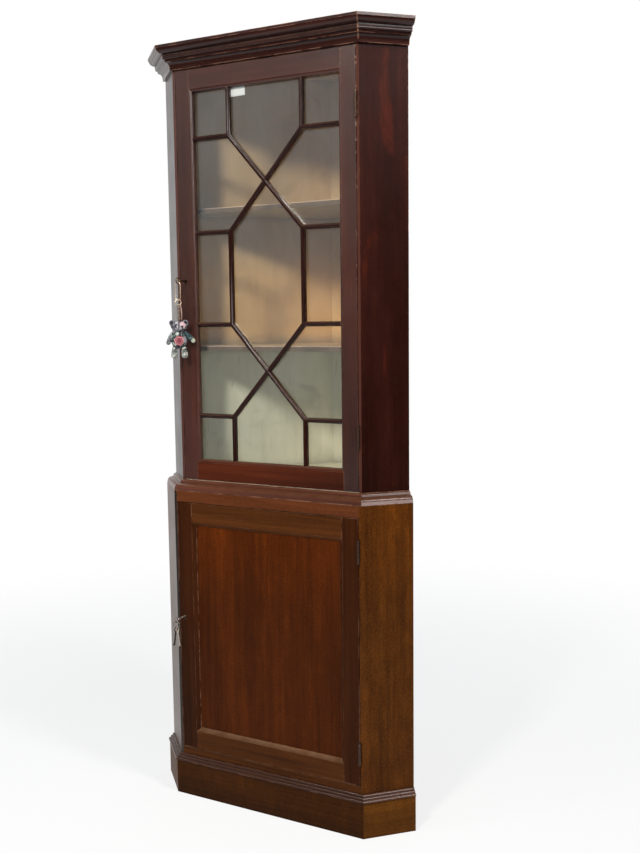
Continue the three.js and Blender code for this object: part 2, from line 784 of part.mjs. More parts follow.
// Door leaf with its frame, hinge recesses, keyhole, lock, bolt and hinge leaves
function doorLeaf(door) {
  const { word, inset, bottom, height, width, keyholeRise, hingeInset, finish } = door;
  const group = new THREE.Group();
  group.position.set(0, inset, bottom);
  const frame = doorFrame(door);
  const hinges = hingeBottoms(0, height, hingeInset);
  const keyX = -width / 2 + keyholeInset;
  const keyhole = faceShape(keyholeShape(linerWall + seam), -overrun, frontThickness + overrun)
    .translate(keyX, 0, keyholeRise);
  const recesses = [hinges.bottom, hinges.top].map((z) => leafRecess(-1, width / 2, 0, z));
  group.add(named(`${word}_door_left_stile`, cutAway(frame.left, keyhole), finish));
  group.add(named(`${word}_door_right_stile`, cutAway(frame.right, ...recesses), finish));
  group.add(named(`${word}_door_top_rail`, frame.top, finish));
  group.add(named(`${word}_door_bottom_rail`, frame.bottom, finish));
  group.add(named(`${word}_lock`, lockBody().translate(keyX, 0, keyholeRise), "brass"));
  group.add(named(`${word}_lock_bolt`, boltBody().translate(keyX, 0, keyholeRise), "brass"));
  for (const [level, z] of [["low", hinges.bottom], ["high", hinges.top]]) {
    const leaf = hingeLeaf(-1, inset, bottom + z).translate(0, -inset, -bottom);
    group.add(named(`${word}_hinge_${level}_door_leaf`, leaf, "brass"));
  }
  return group;
}

const upperDoor = {
  word: "upper",
  inset: upperSetback,
  bottom: upperDoorBottom,
  height: upperDoorHeight,
  width: 2 * (halfOpening(upperSetback) - doorGap),
  stile: upperStileWidth,
  topRail: upperTopRailWidth,
  bottomRail: upperBottomRailWidth,
  sections: [ovoloSection(glazingMould, 0)],
  keyholeRise: upperKeyholeRise,
  hingeInset: upperHingeInset,
  finish: "upperDoor",
};

const lowerDoor = {
  word: "lower",
  inset: 0,
  bottom: lowerDoorBottom,
  height: lowerDoorHeight,
  width: 2 * (halfOpening(0) - doorGap),
  stile: lowerStileWidth,
  topRail: lowerTopRailWidth,
  bottomRail: lowerBottomRailWidth,
  sections: [bevelSection(panelMould), panelLip()],
  keyholeRise: lowerKeyholeRise,
  hingeInset: lowerHingeInset,
  finish: "lowerDoor",
};

// The lip behind the panel closes its groove
function panelLip() {
  const lipWidth = panelMould.width / 2;
  const start = panelMould.depth + panelThickness + 2 * seam;
  const root = -rootOverlap;
  const corners = [[root, start], [lipWidth, start], [lipWidth, frontThickness], [root, frontThickness]];
  return corners.map(([x, y]) => new THREE.Vector2(x, y));
}

function sheetInFrame(door, front, thickness) {
  const { width, height, stile, topRail, bottomRail } = door;
  const half = width / 2 - stile - seam;
  return block(-half, half, front, front + thickness, bottomRail + seam, height - topRail - seam);
}

function upperDoorGroup() {
  const group = doorLeaf(upperDoor);
  const glassFront = glazingMould.depth + seam;
  group.add(named("upper_door_glass", sheetInFrame(upperDoor, glassFront, glassThickness), "glass"));
  group.add(named("upper_door_glazing_bars", glazingBars(upperDoor), "upperDoor"));
  return group;
}

function lowerDoorGroup() {
  const group = doorLeaf(lowerDoor);
  const panelFront = panelMould.depth + seam;
  group.add(named("lower_door_panel", sheetInFrame(lowerDoor, panelFront, panelThickness), "lowerDoor"));
  return group;
}

// A swelling, tapering stuffed shape: a ball stretched to its half sizes, wider below or above
function stuffed({ across, deep, high, taper }, grow = 0) {
  const geometry = new THREE.SphereGeometry(1, softSegments, softRings).rotateX(Math.PI / 2);
  const position = geometry.attributes.position;
  for (let i = 0; i < position.count; i += 1) {
    const swell = 1 + taper * position.getZ(i);
    position.setXYZ(
      i,
      position.getX(i) * swell * (across + grow),
      position.getY(i) * swell * (deep + grow),
      position.getZ(i) * (high + grow),
    );
  }
  return geometry;
}

function limb(size, side) {
  return stuffed(size).rotateY(-side * size.splay).translate(side * size.out, 0, -size.drop);
}

// Toy bear, hung a little turned, the top of its head at the origin. Larger pieces cut smaller ones.
function toyBear() {
  const group = new THREE.Group();
  const headAt = (grow) => stuffed(bearHead, grow).translate(0, 0, -bearHead.high);
  const bodyAt = (grow) => stuffed(bearBody, grow).translate(0, 0, -bearBody.drop);
  const ear = (side) => stuffed({ ...bearEar, taper: 0 })
    .translate(side * bearEar.out, 0, bearEar.up - bearHead.high);
  const head = cutAway(joined(headAt(0), ear(-1), ear(1)), bodyAt(softGap));
  group.add(named("bear_body", bodyAt(0), "cloth"));
  group.add(named("bear_head", head, "cloth"));
  for (const [side, word, arm] of [[-1, "left", bearLeftArm], [1, "right", bearRightArm]]) {
    const larger = [bodyAt(softGap), headAt(softGap)];
    group.add(named(`bear_${word}_arm`, cutAway(limb(arm, side), ...larger), "cloth"));
    group.add(named(`bear_${word}_leg`, cutAway(limb(bearLeg, side), ...larger), "cloth"));
  }
  group.rotation.z = bearTurn;
  return group;
}

// A clasp ring, fused chain links and a ribbon. The wire that it hangs on is at the origin.
function fobChain() {
  const topRise = loopWire + claspSlack + claspWire;
  const clasp = wireRing(claspRadius, claspRadius, claspWire)
    .rotateZ(Math.PI / 2 - claspTurn).translate(0, 0, topRise - claspRadius);
  const start = topRise - 2 * claspRadius;
  const pitch = chainLength / chainLinks;
  const linkHalfHeight = pitch / 2 + linkWire / 2;
  const pieces = [clasp];
  for (let link = 0; link < chainLinks; link += 1) {
    const turn = link % 2 === 0 ? 0 : Math.PI / 2;
    const z = start - pitch * (link + 1 / 2);
    const ring = wireRing(linkHalfWidth, linkHalfHeight, linkWire, linkSegments, linkSides);
    pieces.push(ring.rotateZ(turn).translate(0, 0, z));
  }
  const foot = start - chainLength;
  const ribbonTop = start + claspWire;
  const x0 = ribbonOffset - ribbonWidth / 2;
  const y = ribbonThickness / 2;
  pieces.push(block(x0, x0 + ribbonWidth, -y, y, foot, ribbonTop));
  pieces.push(block(0, x0 + ribbonWidth, -y, y, ribbonTop - linkWire, ribbonTop));
  pieces.push(block(0, x0 + ribbonWidth, -y, y, foot, foot + linkWire));
  return { geometry: joined(...pieces), lowest: foot - linkWire / 2 - linkWire };
}

function keyPlace(door, reach) {
  return [-door.width / 2 + keyholeInset, door.inset - reach, door.bottom + door.keyholeRise];
}

function upperKeyGroup() {
  const group = new THREE.Group();
  group.position.set(...keyPlace(upperDoor, upperKeyReach));
  group.add(named("upper_key", lockKey(upperKeyReach), "brass"));
  const loopTop = -bowRadius + bowWire + seam + loopWire;
  const loop = wireRing(loopHalfWidth, loopHalfHeight, loopWire).translate(0, 0, loopTop - loopHalfHeight);
  group.add(named("key_loop", loop, "gilt"));
  const loopFoot = loopTop - 2 * loopHalfHeight;
  const chain = fobChain();
  group.add(named("fob_chain", chain.geometry.translate(0, 0, loopFoot), "gilt"));
  const bear = toyBear();
  bear.position.set(0, 0, loopFoot + chain.lowest - seam);
  group.add(bear);
  return group;
}

function lowerKeyGroup() {
  const group = new THREE.Group();
  group.position.set(...keyPlace(lowerDoor, lowerKeyReach));
  group.add(named("lower_key", lockKey(lowerKeyReach), "steel"));
  const ringTop = -bowRadius + bowWire + seam + spareRingWire;
  const ring = wireRing(spareRingRadius, spareRingRadius, spareRingWire)
    .translate(0, 0, ringTop - spareRingRadius);
  group.add(named("spare_key_ring", ring, "steel"));
  const ringFoot = ringTop - 2 * spareRingRadius;
  const hang = spareBowRadius - spareBowWire - spareSlack - spareRingWire;
  const lift = spareRingRadius - Math.sqrt(spareRingRadius ** 2 - spareOffset ** 2);
  for (const [side, word] of [[-1, "left"], [1, "right"]]) {
    const key = keyBody(spareBowRadius, spareBowWire, spareShankRadius, spareShank)
      .rotateX(-Math.PI / 2).translate(0, 0, -hang)
      .rotateY(-side * spareSplay).translate(side * spareOffset, 0, ringFoot + lift);
    group.add(named(`spare_key_${word}`, key, "steel"));
  }
  return group;
}

const cupboard = new THREE.Group();
cupboard.position.set(0, -originSetback, 0);
cupboard.add(lowerCase(), upperCase(), cornice());
cupboard.add(upperDoorGroup(), lowerDoorGroup(), upperKeyGroup(), lowerKeyGroup());

export default cupboard;
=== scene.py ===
"""Looks for a standing corner cupboard. Metres, +Z up, the front looks along -Y."""
import json
import math
from functools import partialmethod

import bmesh
import bpy
from mathutils import Matrix, Vector

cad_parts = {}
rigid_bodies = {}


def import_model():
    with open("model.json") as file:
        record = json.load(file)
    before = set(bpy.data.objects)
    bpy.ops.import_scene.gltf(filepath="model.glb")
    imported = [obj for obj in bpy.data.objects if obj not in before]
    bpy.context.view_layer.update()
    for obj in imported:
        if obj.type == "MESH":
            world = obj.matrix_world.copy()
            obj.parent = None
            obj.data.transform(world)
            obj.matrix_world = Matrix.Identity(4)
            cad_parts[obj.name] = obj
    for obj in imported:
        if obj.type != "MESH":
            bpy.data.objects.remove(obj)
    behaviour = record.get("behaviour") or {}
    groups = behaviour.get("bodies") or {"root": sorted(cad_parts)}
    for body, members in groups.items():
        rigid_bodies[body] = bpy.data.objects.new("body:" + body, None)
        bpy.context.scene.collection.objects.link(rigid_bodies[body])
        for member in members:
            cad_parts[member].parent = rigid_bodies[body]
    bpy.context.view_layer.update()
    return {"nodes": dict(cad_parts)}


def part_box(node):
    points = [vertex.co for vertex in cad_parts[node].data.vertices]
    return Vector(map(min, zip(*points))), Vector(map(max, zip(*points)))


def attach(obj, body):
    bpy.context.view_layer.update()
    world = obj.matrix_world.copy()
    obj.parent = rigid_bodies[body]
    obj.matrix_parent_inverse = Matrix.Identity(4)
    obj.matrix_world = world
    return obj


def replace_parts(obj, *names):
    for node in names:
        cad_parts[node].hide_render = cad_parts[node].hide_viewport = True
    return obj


for leftover in list(bpy.data.objects):
    bpy.data.objects.remove(leftover)
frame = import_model()
nodes = frame["nodes"]

# The case, as in the CAD source. Its returns stand 45 degrees back from its front.
HALF_FRONT = 0.2942
LOWER_FRONT = -0.011
UPPER_FRONT = 0.0165
UPPER_FOOT = 0.887
HALF_TURN = math.pi / 8
DOOR_DEPTH = 0.024
HINGE_EDGE = {"upper": 0.27331, "lower": 0.2847}
INNER_CORNER = 0.4677
SHELF_TOPS = (1.2913, 1.6748)

# Boards that only the looks have
BACK_BOARD_WIDTH = 0.093
STRIP_HALF_WIDTH = 0.024
STRIP_GAP = 0.0006

# The keys' bows, as in the CAD source. The toy hangs from the upper one.
KEY_X = -0.255809
KEY_Z = 1.4729
BOW_Y = -0.0215
LOWER_KEY = (-0.2672, -0.054, 0.5257)
BOW_RADIUS = 0.007
BOW_WIRE = 0.0016
KEY_SHANK = 0.0026
KEY_BIT = 0.0085

# The toy hangs turned a little, as in the CAD source. Its own frame is upright under the bow, facing -Y.
TOY_TURN = 0.63
TOY_PLACE = Matrix.Translation((KEY_X, BOW_Y, 0.0)) @ Matrix.Rotation(TOY_TURN, 4, "Z")
HEAD_Z = 1.3485
EYE = (0.0092, -0.0138, 1.3475)
ROSE = (0.0, -0.0158, 1.3090)

# The wire loop, the clasp and the chain above the toy
LOOP_Z = 1.4442
CLASP_TOP = 1.4234
CLASP_RADIUS = 0.008
CLASP_MIDDLE = CLASP_TOP - 0.0011 - CLASP_RADIUS
CHAIN_TOP = CLASP_MIDDLE - CLASP_RADIUS
CHAIN_LENGTH = 0.042
CHAIN_LINKS = 8

# The ring and the two keys that hang on the lower key
RING_RADIUS = 0.010
RING_WIRE = 0.0009
RING_TOP = LOWER_KEY[2] - BOW_RADIUS + BOW_WIRE + 0.0003 + RING_WIRE
SPARE_OFFSET = 0.0022
SPARE_SPLAY = 0.14
SPARE_BOW = 0.006
SPARE_WIRE = 0.0012
SPARE_LENGTH = 0.048
SPARE_SHANK = 0.0023
SPARE_BIT = 0.0062
SPARE_SLACK = 0.0008

# The blank ticket on the glass, in x and z
TICKET_MIDDLE = (-0.0850, 1.96875)
TICKET_SIZE = (0.0475, 0.0265)
TICKET_MARGIN = 0.0025
TICKET_BACK = 0.03375
TICKET_THICKNESS = 0.00016

# The camera, fitted to the photo: its place, its yaw, pitch and roll in degrees, and its lens
CAMERA_PLACE = (1.42071, -2.30458, 1.37275)
CAMERA_ANGLES = (28.47, -6.23, -0.68)
CAMERA_LENS = 42.81
SENSOR_HEIGHT = 36.0

# What polish and metal mirror: a window to the right, a skylight in front, pale ground to the left.
# Each has its direction from the front towards +X, its rise as a sine from and to, and its strength.
WINDOWS = (
    (math.radians(65), 0.2, 0.48, 14.0),
    (math.radians(44), 0.7, 0.88, 12.0),
    (math.radians(-112), -0.5, -0.28, 3.0),
)
AMBIENT = 0.32
FLOOR_REACH = 3.4

# Short names of a shader's inputs
SOCKETS = {
    "colour": "Base Color", "relief": "Normal", "rough": "Roughness", "gloss": "Specular IOR Level",
    "coat": "Coat Weight", "coat_rough": "Coat Roughness", "ior": "IOR", "metal": "Metallic",
    "sheen": "Sheen Weight", "sheen_rough": "Sheen Roughness", "through": "Transmission Weight",
}


def srgb(red, green, blue):
    """A colour as seen on a screen, 0 to 255, as Blender's linear colour."""
    def linear(value):
        share = value / 255
        return share / 12.92 if share <= 0.04045 else ((share + 0.055) / 1.055) ** 2.4
    return (linear(red), linear(green), linear(blue), 1.0)


def set_all(thing, **settings):
    for key, value in settings.items():
        setattr(thing, key, value)
    return thing


def add_object(name, data):
    made = bpy.data.objects.new(name, data)
    bpy.context.scene.collection.objects.link(made)
    return made


class Tree:
    """Short ways to write a node tree."""

    def __init__(self, tree):
        self.tree = tree
        self.shader = tree.nodes.get("Principled BSDF")

    def put(self, socket, value):
        if isinstance(value, bpy.types.NodeSocket):
            self.tree.links.new(value, socket)
        else:
            socket.default_value = value

    def node(self, kind, inputs=None, **settings):
        made = set_all(self.tree.nodes.new("ShaderNode" + kind), **settings)
        for key, value in (inputs or {}).items():
            self.put(made.inputs[key], value)
        return made

    def math(self, operation, *values, clamp=False):
        made = self.node("Math", operation=operation, use_clamp=clamp)
        for socket, value in zip(made.inputs, values):
            self.put(socket, value)
        return made.outputs[0]

    times = partialmethod(math, "MULTIPLY")
    plus = partialmethod(math, "ADD")
    minus = partialmethod(math, "SUBTRACT")
    times_plus = partialmethod(math, "MULTIPLY_ADD")
    unsigned = partialmethod(math, "ABSOLUTE")
    sign = partialmethod(math, "SIGN")
    sine = partialmethod(math, "SINE")
    most = partialmethod(math, "MAXIMUM")
    least = partialmethod(math, "MINIMUM")
    above = partialmethod(math, "GREATER_THAN")
    below = partialmethod(math, "LESS_THAN")

    def vector_math(self, operation, *values):
        return self.node("VectorMath", dict(enumerate(values)), operation=operation).outputs

    def distance(self, place, point):
        return self.vector_math("DISTANCE", place, point)["Value"]

    def mix(self, share, low, high, blend="MIX"):
        sockets = {0: share, 6: low, 7: high}
        return self.node("Mix", sockets, data_type="RGBA", blend_type=blend).outputs[2]

    def tint(self, share, colour, *factors):
        """Multiplies a colour's red, green and blue, as far as share says."""
        return self.mix(share, colour, (*factors, 1.0), "MULTIPLY")

    def span(self, value, low, high, to_low=0.0, to_high=1.0):
        sockets = {0: value, 1: low, 2: high, 3: to_low, 4: to_high}
        return self.node("MapRange", sockets, interpolation_type="SMOOTHSTEP").outputs[0]

    def vector(self, x, y, z):
        return self.node("CombineXYZ", {0: x, 1: y, 2: z}).outputs[0]

    def split(self, vector):
        return self.node("SeparateXYZ", {0: vector}).outputs

    def scaled(self, u, v, w, along, across):
        return self.vector(self.times(u, along), self.times(v, across), self.times(w, across))

    def noise(self, vector, scale=1.0, detail=3.0, rough=0.5, warp=0.0):
        names = ("Vector", "Scale", "Detail", "Roughness", "Distortion")
        sockets = dict(zip(names, (vector, scale, detail, rough, warp)))
        return self.node("TexNoise", sockets).outputs[0]

    def ramp(self, value, *stops, fade="LINEAR"):
        made = self.node("ValToRGB", {0: value})
        made.color_ramp.interpolation = fade
        points = made.color_ramp.elements
        while len(points) < len(stops):
            points.new(0.5)
        for point, (place, colour) in zip(points, stops):
            point.position = place
            point.color = colour
        return made.outputs[0]

    def place(self):
        """Object coordinates, which are the frame's and move with the piece."""
        return self.node("TexCoord").outputs["Object"]

    def xyz(self):
        return self.split(self.place())

    def facing(self):
        """How far a face looks along x, y and z."""
        return self.split(self.node("TexCoord").outputs["Normal"])

    def edges(self, reach):
        """1 along outward edges, 0 on the flat."""
        inside = self.node("AmbientOcclusion", {"Distance": reach}, samples=8, inside=True, only_local=True)
        return self.span(inside.outputs["AO"], 0.94, 0.6)

    def hollows(self, reach):
        """1 in corners and quirks, 0 in the open."""
        outside = self.node("AmbientOcclusion", {"Distance": reach}, samples=6)
        return self.span(outside.outputs["AO"], 0.9, 0.4)

    def set(self, **values):
        """Sets the main shader's inputs by their short names."""
        for key, value in values.items():
            self.put(self.shader.inputs[SOCKETS[key]], value)

    def dress(self, height, strength, distance, **values):
        """The same, with relief from a height."""
        sockets = {"Height": height, "Strength": strength, "Distance": distance}
        self.set(relief=self.node("Bump", sockets).outputs[0], **values)

    def mix_shader(self, share, low, high):
        return self.node("MixShader", {0: share, 1: low, 2: high}).outputs[0]

    def show(self, shader):
        self.put(self.tree.nodes["Material Output"].inputs[0], shader)


def new_material(name):
    made = bpy.data.materials.new(name)
    made.use_nodes = True
    return made, Tree(made.node_tree)


# Wood
def grain_axes(tree, run):
    """Places along the grain and across it, and for a moulding how far past its mitre.

    run is upright, level, or wrap for mouldings mitred round the case.
    """
    x, y, z = tree.xyz()
    shift = tree.times(tree.node("ObjectInfo").outputs["Random"], 37.0)
    if run == "upright":
        return tree.plus(z, shift), tree.plus(x, shift), y, None
    if run == "level":
        return tree.plus(x, shift), tree.plus(z, shift), y, None
    away = tree.unsigned(x)
    past = tree.times(tree.minus(away, HALF_FRONT), math.cos(HALF_TURN))
    front = LOWER_FRONT if run == "wrap_lower" else UPPER_FRONT
    inset = (front - LOWER_FRONT) * math.tan(HALF_TURN)
    past = tree.plus(past, inset * math.cos(HALF_TURN))
    rise = tree.times(tree.minus(y, front), math.sin(HALF_TURN))
    beyond = tree.plus(past, rise)
    slant = tree.times(tree.plus(away, y), math.sqrt(0.5))
    deep = tree.times(tree.minus(away, y), math.sqrt(0.5))
    slant = tree.plus(slant, tree.times(tree.sign(x), 3.3))
    sockets = {0: tree.above(beyond, 0.0), 4: tree.vector(x, y, z), 5: tree.vector(slant, deep, z)}
    along, across, up = tree.split(tree.node("Mix", sockets, data_type="VECTOR").outputs[1])
    return tree.plus(along, shift), tree.plus(up, shift), across, beyond


def tone(red, green, blue, spread=0.3):
    """The dark, middle and light of one wood, from its middle as seen on a screen."""
    middle = srgb(red, green, blue)
    dark = [value * (1 - spread) for value in middle[:3]]
    light = [min(1.0, value * (1 + 1.3 * spread)) for value in middle[:3]]
    return (*dark, 1.0), middle, (*light, 1.0)


def wood_colour(tree, run, wood_tone, broad, streak, lift):
    """Colour, and a height for the bump, of polished mahogany. lift paints the boards of the returns
    lighter, most on the right, as painted light.
    """
    dark, middle, light = tone(*wood_tone)
    u, v, w, beyond = grain_axes(tree, run)
    sway = tree.noise(tree.scaled(u, v, w, 1.4, 5.0), detail=2.0)
    v = tree.times_plus(sway, 0.035, v)
    cloud = tree.noise(tree.scaled(u, v, w, 1.5, 12.0), detail=2.0, rough=0.45)
    streaks = tree.noise(tree.scaled(u, v, w, 2.4, 85.0), rough=0.55)
    lines = tree.noise(tree.scaled(u, v, w, 12.0, 480.0), detail=2.0)
    pores = tree.noise(tree.scaled(u, v, w, 110.0, 2600.0), detail=2.0)
    fine = 0.35
    level = tree.times_plus(cloud, broad, 0.5 - (broad + streak + fine) / 2)
    level = tree.times_plus(streaks, streak, level)
    level = tree.times_plus(lines, fine, level)
    colour = tree.ramp(level, (0.0, dark), (0.5, middle), (1.0, light))
    pits = tree.span(pores, 0.6, 0.72)
    colour = tree.mix(tree.times(pits, 0.35), colour, srgb(22, 8, 4))
    height = tree.minus(tree.times(lines, 0.4), pits)
    if beyond is not None:
        # Painted light on the boards of the returns, stronger on the right side
        right = tree.above(tree.xyz()[0], 0.0)
        side = tree.times(tree.above(beyond, 0.0), tree.times_plus(right, 0.65, 0.35))
        colour = tree.tint(tree.times(side, lift), colour, 3.0, 3.4, 3.0)
        joint = tree.span(tree.unsigned(beyond), 0.0008, 0.0002)
        colour = tree.mix(tree.times(joint, 0.85), colour, srgb(18, 8, 5))
    return colour, height


def uneven(tree, colour, value, amount, dark, light):
    """Darkens a colour where a noise is low and lightens it where it is high.

    dark and light are each the noise's range and then the factors for red, green and blue.
    """
    colour = tree.tint(tree.span(value, *dark[:2], amount, 0.0), colour, *dark[2:])
    return tree.tint(tree.span(value, *light[:2], 0.0, amount), colour, *light[2:])


def weathered(tree, colour, wear, chips, grime_and_shade, dust_and_sheen):
    """Rubbed edges, pale chips high on the right, dark polish and painted shade in the hollows, and dirt on
    the ledges that is also a painted sheen.
    """
    place = tree.place()
    x, _, z = tree.xyz()
    chipped = tree.times(tree.span(x, 0.2, 0.26), tree.span(z, 1.2, 1.75, 0.15, 1.0))
    edge = tree.edges(0.0024)
    rubbed = tree.span(tree.noise(place, 26.0, 4.0, 0.65), 0.4, 0.62)
    rubbed = tree.times(tree.times(edge, rubbed), wear, clamp=True)
    flake = tree.span(tree.noise(place, 70.0, 4.0, 0.7), 0.56, 0.6)
    flake = tree.times(tree.times(edge, flake), tree.times(chipped, chips), clamp=True)
    # Dark polish in the hollows, darkened further as painted shade there
    colour = tree.mix(tree.times(tree.hollows(0.013), grime_and_shade), colour, srgb(12, 5, 3))
    # Pale grey-brown dirt on faces that look up, which is also a painted sheen on them
    dust_and_sheen_share = tree.span(tree.noise(place, 30.0, 4.0, 0.7), 0.3, 0.6, 0.5, 1.0)
    dust_and_sheen_share = tree.times(tree.span(tree.facing()[2], 0.2, 0.75), dust_and_sheen_share)
    colour = tree.mix(tree.times(dust_and_sheen_share, dust_and_sheen), colour, srgb(140, 114, 90))
    colour = tree.mix(rubbed, colour, srgb(126, 88, 68))
    return tree.mix(flake, colour, srgb(178, 142, 120)), tree.most(rubbed, flake)


def mahogany(name, run, wood_tone, broad=1.1, streak=0.9, lift=0.0, wear=0.5, chips=0.0, grime_and_shade=0.7,
             dust_and_sheen=0.12, rough=0.36, gloss=0.3, coat=0.2, mottle=0.25, blotch=0.0, finish=None):
    """Polished mahogany and its age, with painted light and shade where asked for. wood_tone is its middle
    colour and how far its tones spread.
    """
    material, tree = new_material(name)
    colour, height = wood_colour(tree, run, wood_tone, broad, streak, lift)
    speckle = tree.noise(tree.place(), 210.0, 3.0, 0.7)
    dark, light = (0.35, 0.55, 0.55, 0.5, 0.5), (0.5, 0.72, 1.7, 1.65, 1.5)
    colour = uneven(tree, colour, speckle, mottle, dark, light)
    if blotch:
        x, y, z = tree.xyz()
        cloud = tree.noise(tree.scaled(z, x, y, 13.0, 42.0), 1.0, 3.0, 0.6, 0.3)
        dark, light = (0.34, 0.5, 0.6, 0.56, 0.55), (0.5, 0.68, 1.6, 1.6, 1.5)
        colour = uneven(tree, colour, cloud, blotch, dark, light)
    if finish:
        colour = finish(tree, colour)
    colour, worn = weathered(tree, colour, wear, chips, grime_and_shade, dust_and_sheen)
    roughness = tree.times_plus(tree.noise(tree.place(), 9.0), 0.2, rough - 0.1)
    roughness = tree.times_plus(worn, 0.2, roughness)
    tree.dress(height, 0.2, 0.0003, colour=colour, rough=roughness, gloss=gloss, coat=coat, coat_rough=0.2)
    return material


# Paint
def inner_face(tree):
    """1 on the faces that look into the case behind the doors, of a board on either side."""
    x, y, z = tree.xyz()
    inward = tree.below(tree.times(tree.facing()[0], tree.sign(x)), -0.5)
    front = tree.span(z, UPPER_FOOT - 0.001, UPPER_FOOT + 0.001, LOWER_FRONT, UPPER_FRONT)
    behind = tree.above(tree.minus(y, front), DOOR_DEPTH)
    return tree.times(inward, behind)


def back_face(tree):
    """1 on the faces of the backs that look at the walls."""
    turned = tree.facing()
    outward = tree.plus(tree.times(turned[0], tree.sign(tree.xyz()[0])), turned[1])
    return tree.above(outward, 1.2)


def paint_colour(tree):
    """Old paint with faint brush marks, stains and scratches: tan above, paler in the lowest upper bay,
    with a painted pool of light in the middle bay and painted shade towards the left.
    """
    x, y, z = tree.xyz()
    boards = tree.vector(tree.times(tree.plus(x, y), 5.0), tree.times(y, 2.0), tree.times(z, 1.6))
    brush = tree.noise(boards, 5.0, 4.0, 0.55)
    stain = tree.noise(tree.place(), 6.5, 4.0, 0.65, 0.8)
    warm = tree.ramp(brush, (0.15, srgb(178, 146, 108)), (0.85, srgb(194, 162, 124)))
    cool = tree.ramp(brush, (0.15, srgb(218, 210, 184)), (0.85, srgb(240, 232, 208)))
    colour = tree.mix(tree.span(z, 1.26, 1.29), cool, warm)
    colour = tree.mix(tree.span(stain, 0.54, 0.75, 0.0, 0.3), colour, srgb(120, 104, 78))
    # A painted pool of light low in the middle bay
    painted_light_pool = tree.times(tree.span(z, 1.29, 1.33), tree.span(z, 1.62, 1.46))
    colour = tree.tint(painted_light_pool, colour, 1.4, 1.28, 1.04)
    # Painted shade towards the left of the case
    colour = tree.tint(tree.span(x, -0.03, -0.17, 0.0, 0.6), colour, 0.72, 0.74, 0.76)
    scratch = tree.noise(tree.scaled(z, x, y, 14.0, 240.0), 1.0, 3.0, 0.6, 0.6)
    return tree.mix(tree.span(scratch, 0.66, 0.7, 0.0, 0.35), colour, srgb(104, 92, 70)), brush


def raw_colour(tree):
    """Unpolished softwood of the backs, in upright boards, and 1 in the joints between them."""
    u, v, w, _ = grain_axes(tree, "upright")
    streaks = tree.noise(tree.scaled(u, v, w, 3.0, 90.0), detail=4.0, rough=0.6)
    light = (0.75, srgb(164, 132, 92))
    colour = tree.ramp(streaks, (0.3, srgb(104, 78, 50)), (0.55, srgb(140, 108, 72)), light)
    cloud = tree.noise(tree.place(), 4.0)
    colour = tree.mix(tree.span(cloud, 0.4, 0.7, 0.0, 0.5), colour, srgb(92, 72, 50))
    x, y, _ = tree.xyz()
    along = tree.times(tree.minus(tree.unsigned(x), y), math.sqrt(0.5))
    board = tree.math("FRACT", tree.times(along, 1 / BACK_BOARD_WIDTH))
    joint = tree.span(tree.unsigned(tree.minus(board, 0.5)), 0.482, 0.494)
    return tree.mix(joint, colour, srgb(34, 24, 16)), joint


def painted(name, with_backs=False, with_edge=False):
    """Paint all over, but raw wood on the backs, or a shelf's front edge and underside in painted shade and
    its worn top arris, where asked for.
    """
    material, tree = new_material(name)
    colour, height = paint_colour(tree)
    if with_edge:
        # The front edge and the underside of a shelf are darkened as painted shade
        front = tree.below(tree.facing()[1], -0.5)
        underside = tree.below(tree.facing()[2], -0.5)
        colour = tree.mix(tree.times(front, 0.95), colour, srgb(80, 60, 44))
        colour = tree.tint(underside, colour, 0.66, 0.72, 0.62)
    if with_backs:
        raw, joint = raw_colour(tree)
        colour = tree.mix(back_face(tree), colour, raw)
        height = tree.minus(tree.times(height, 0.5), joint)
    # Dirt and painted shade in the inner corners
    colour = tree.mix(tree.times(tree.hollows(0.03), 0.3), colour, srgb(70, 58, 42))
    if with_edge:
        near = [tree.unsigned(tree.minus(tree.xyz()[2], top)) for top in SHELF_TOPS]
        bright = tree.times(front, tree.span(tree.least(*near), 0.0022, 0.0010))
        colour = tree.mix(tree.times(bright, 0.9), colour, srgb(206, 172, 152))
    tree.dress(height, 0.3, 0.0006, colour=colour, rough=0.72, gloss=0.3)
    return material


# What single woods have besides
def painted_inside(tree, colour):
    return tree.mix(inner_face(tree), colour, paint_colour(tree)[0])


def narrow_front(tree, colour, share, edge_colour):
    """The narrow edge of a return beside the door gets another colour, and paint inside."""
    edge = tree.below(tree.facing()[1], -0.93)
    return painted_inside(tree, tree.mix(tree.times(edge, share), colour, edge_colour))


# Near black on the lower left: a painted shadow of the gap beside the door
def painted_gap_shadow(tree, colour):
    return narrow_front(tree, colour, 0.9, srgb(14, 7, 4))


def red_front(tree, colour):
    return narrow_front(tree, colour, 0.7, srgb(84, 50, 42))


def warmer_above(tree, colour):
    """The lower case is painted lighter and redder towards its top, as painted light."""
    return tree.tint(tree.span(tree.xyz()[2], 0.56, 0.8), colour, 1.38, 1.3, 1.05)


def warm_inside(tree, colour):
    return painted_inside(tree, warmer_above(tree, colour))


def darker_below(tree, colour):
    """The upper door's stiles are painted darker towards the foot, as painted shade where less sheen falls.
    """
    return tree.tint(tree.span(tree.xyz()[2], 1.0, 1.6, 0.35, 0.0), colour, 0.45, 0.4, 0.4)


def reddish_patches(tree, colour):
    """The return's polish has worn to red in soft upright patches."""
    x, y, z = tree.xyz()
    place = tree.vector(tree.times(x, 9.0), tree.times(y, 9.0), tree.times(z, 2.2))
    patch = tree.noise(place, 2.2, 4.0, 0.65, 0.5)
    colour = tree.mix(tree.span(patch, 0.58, 0.76, 0.0, 0.4), colour, srgb(86, 34, 20))
    return red_front(tree, colour)


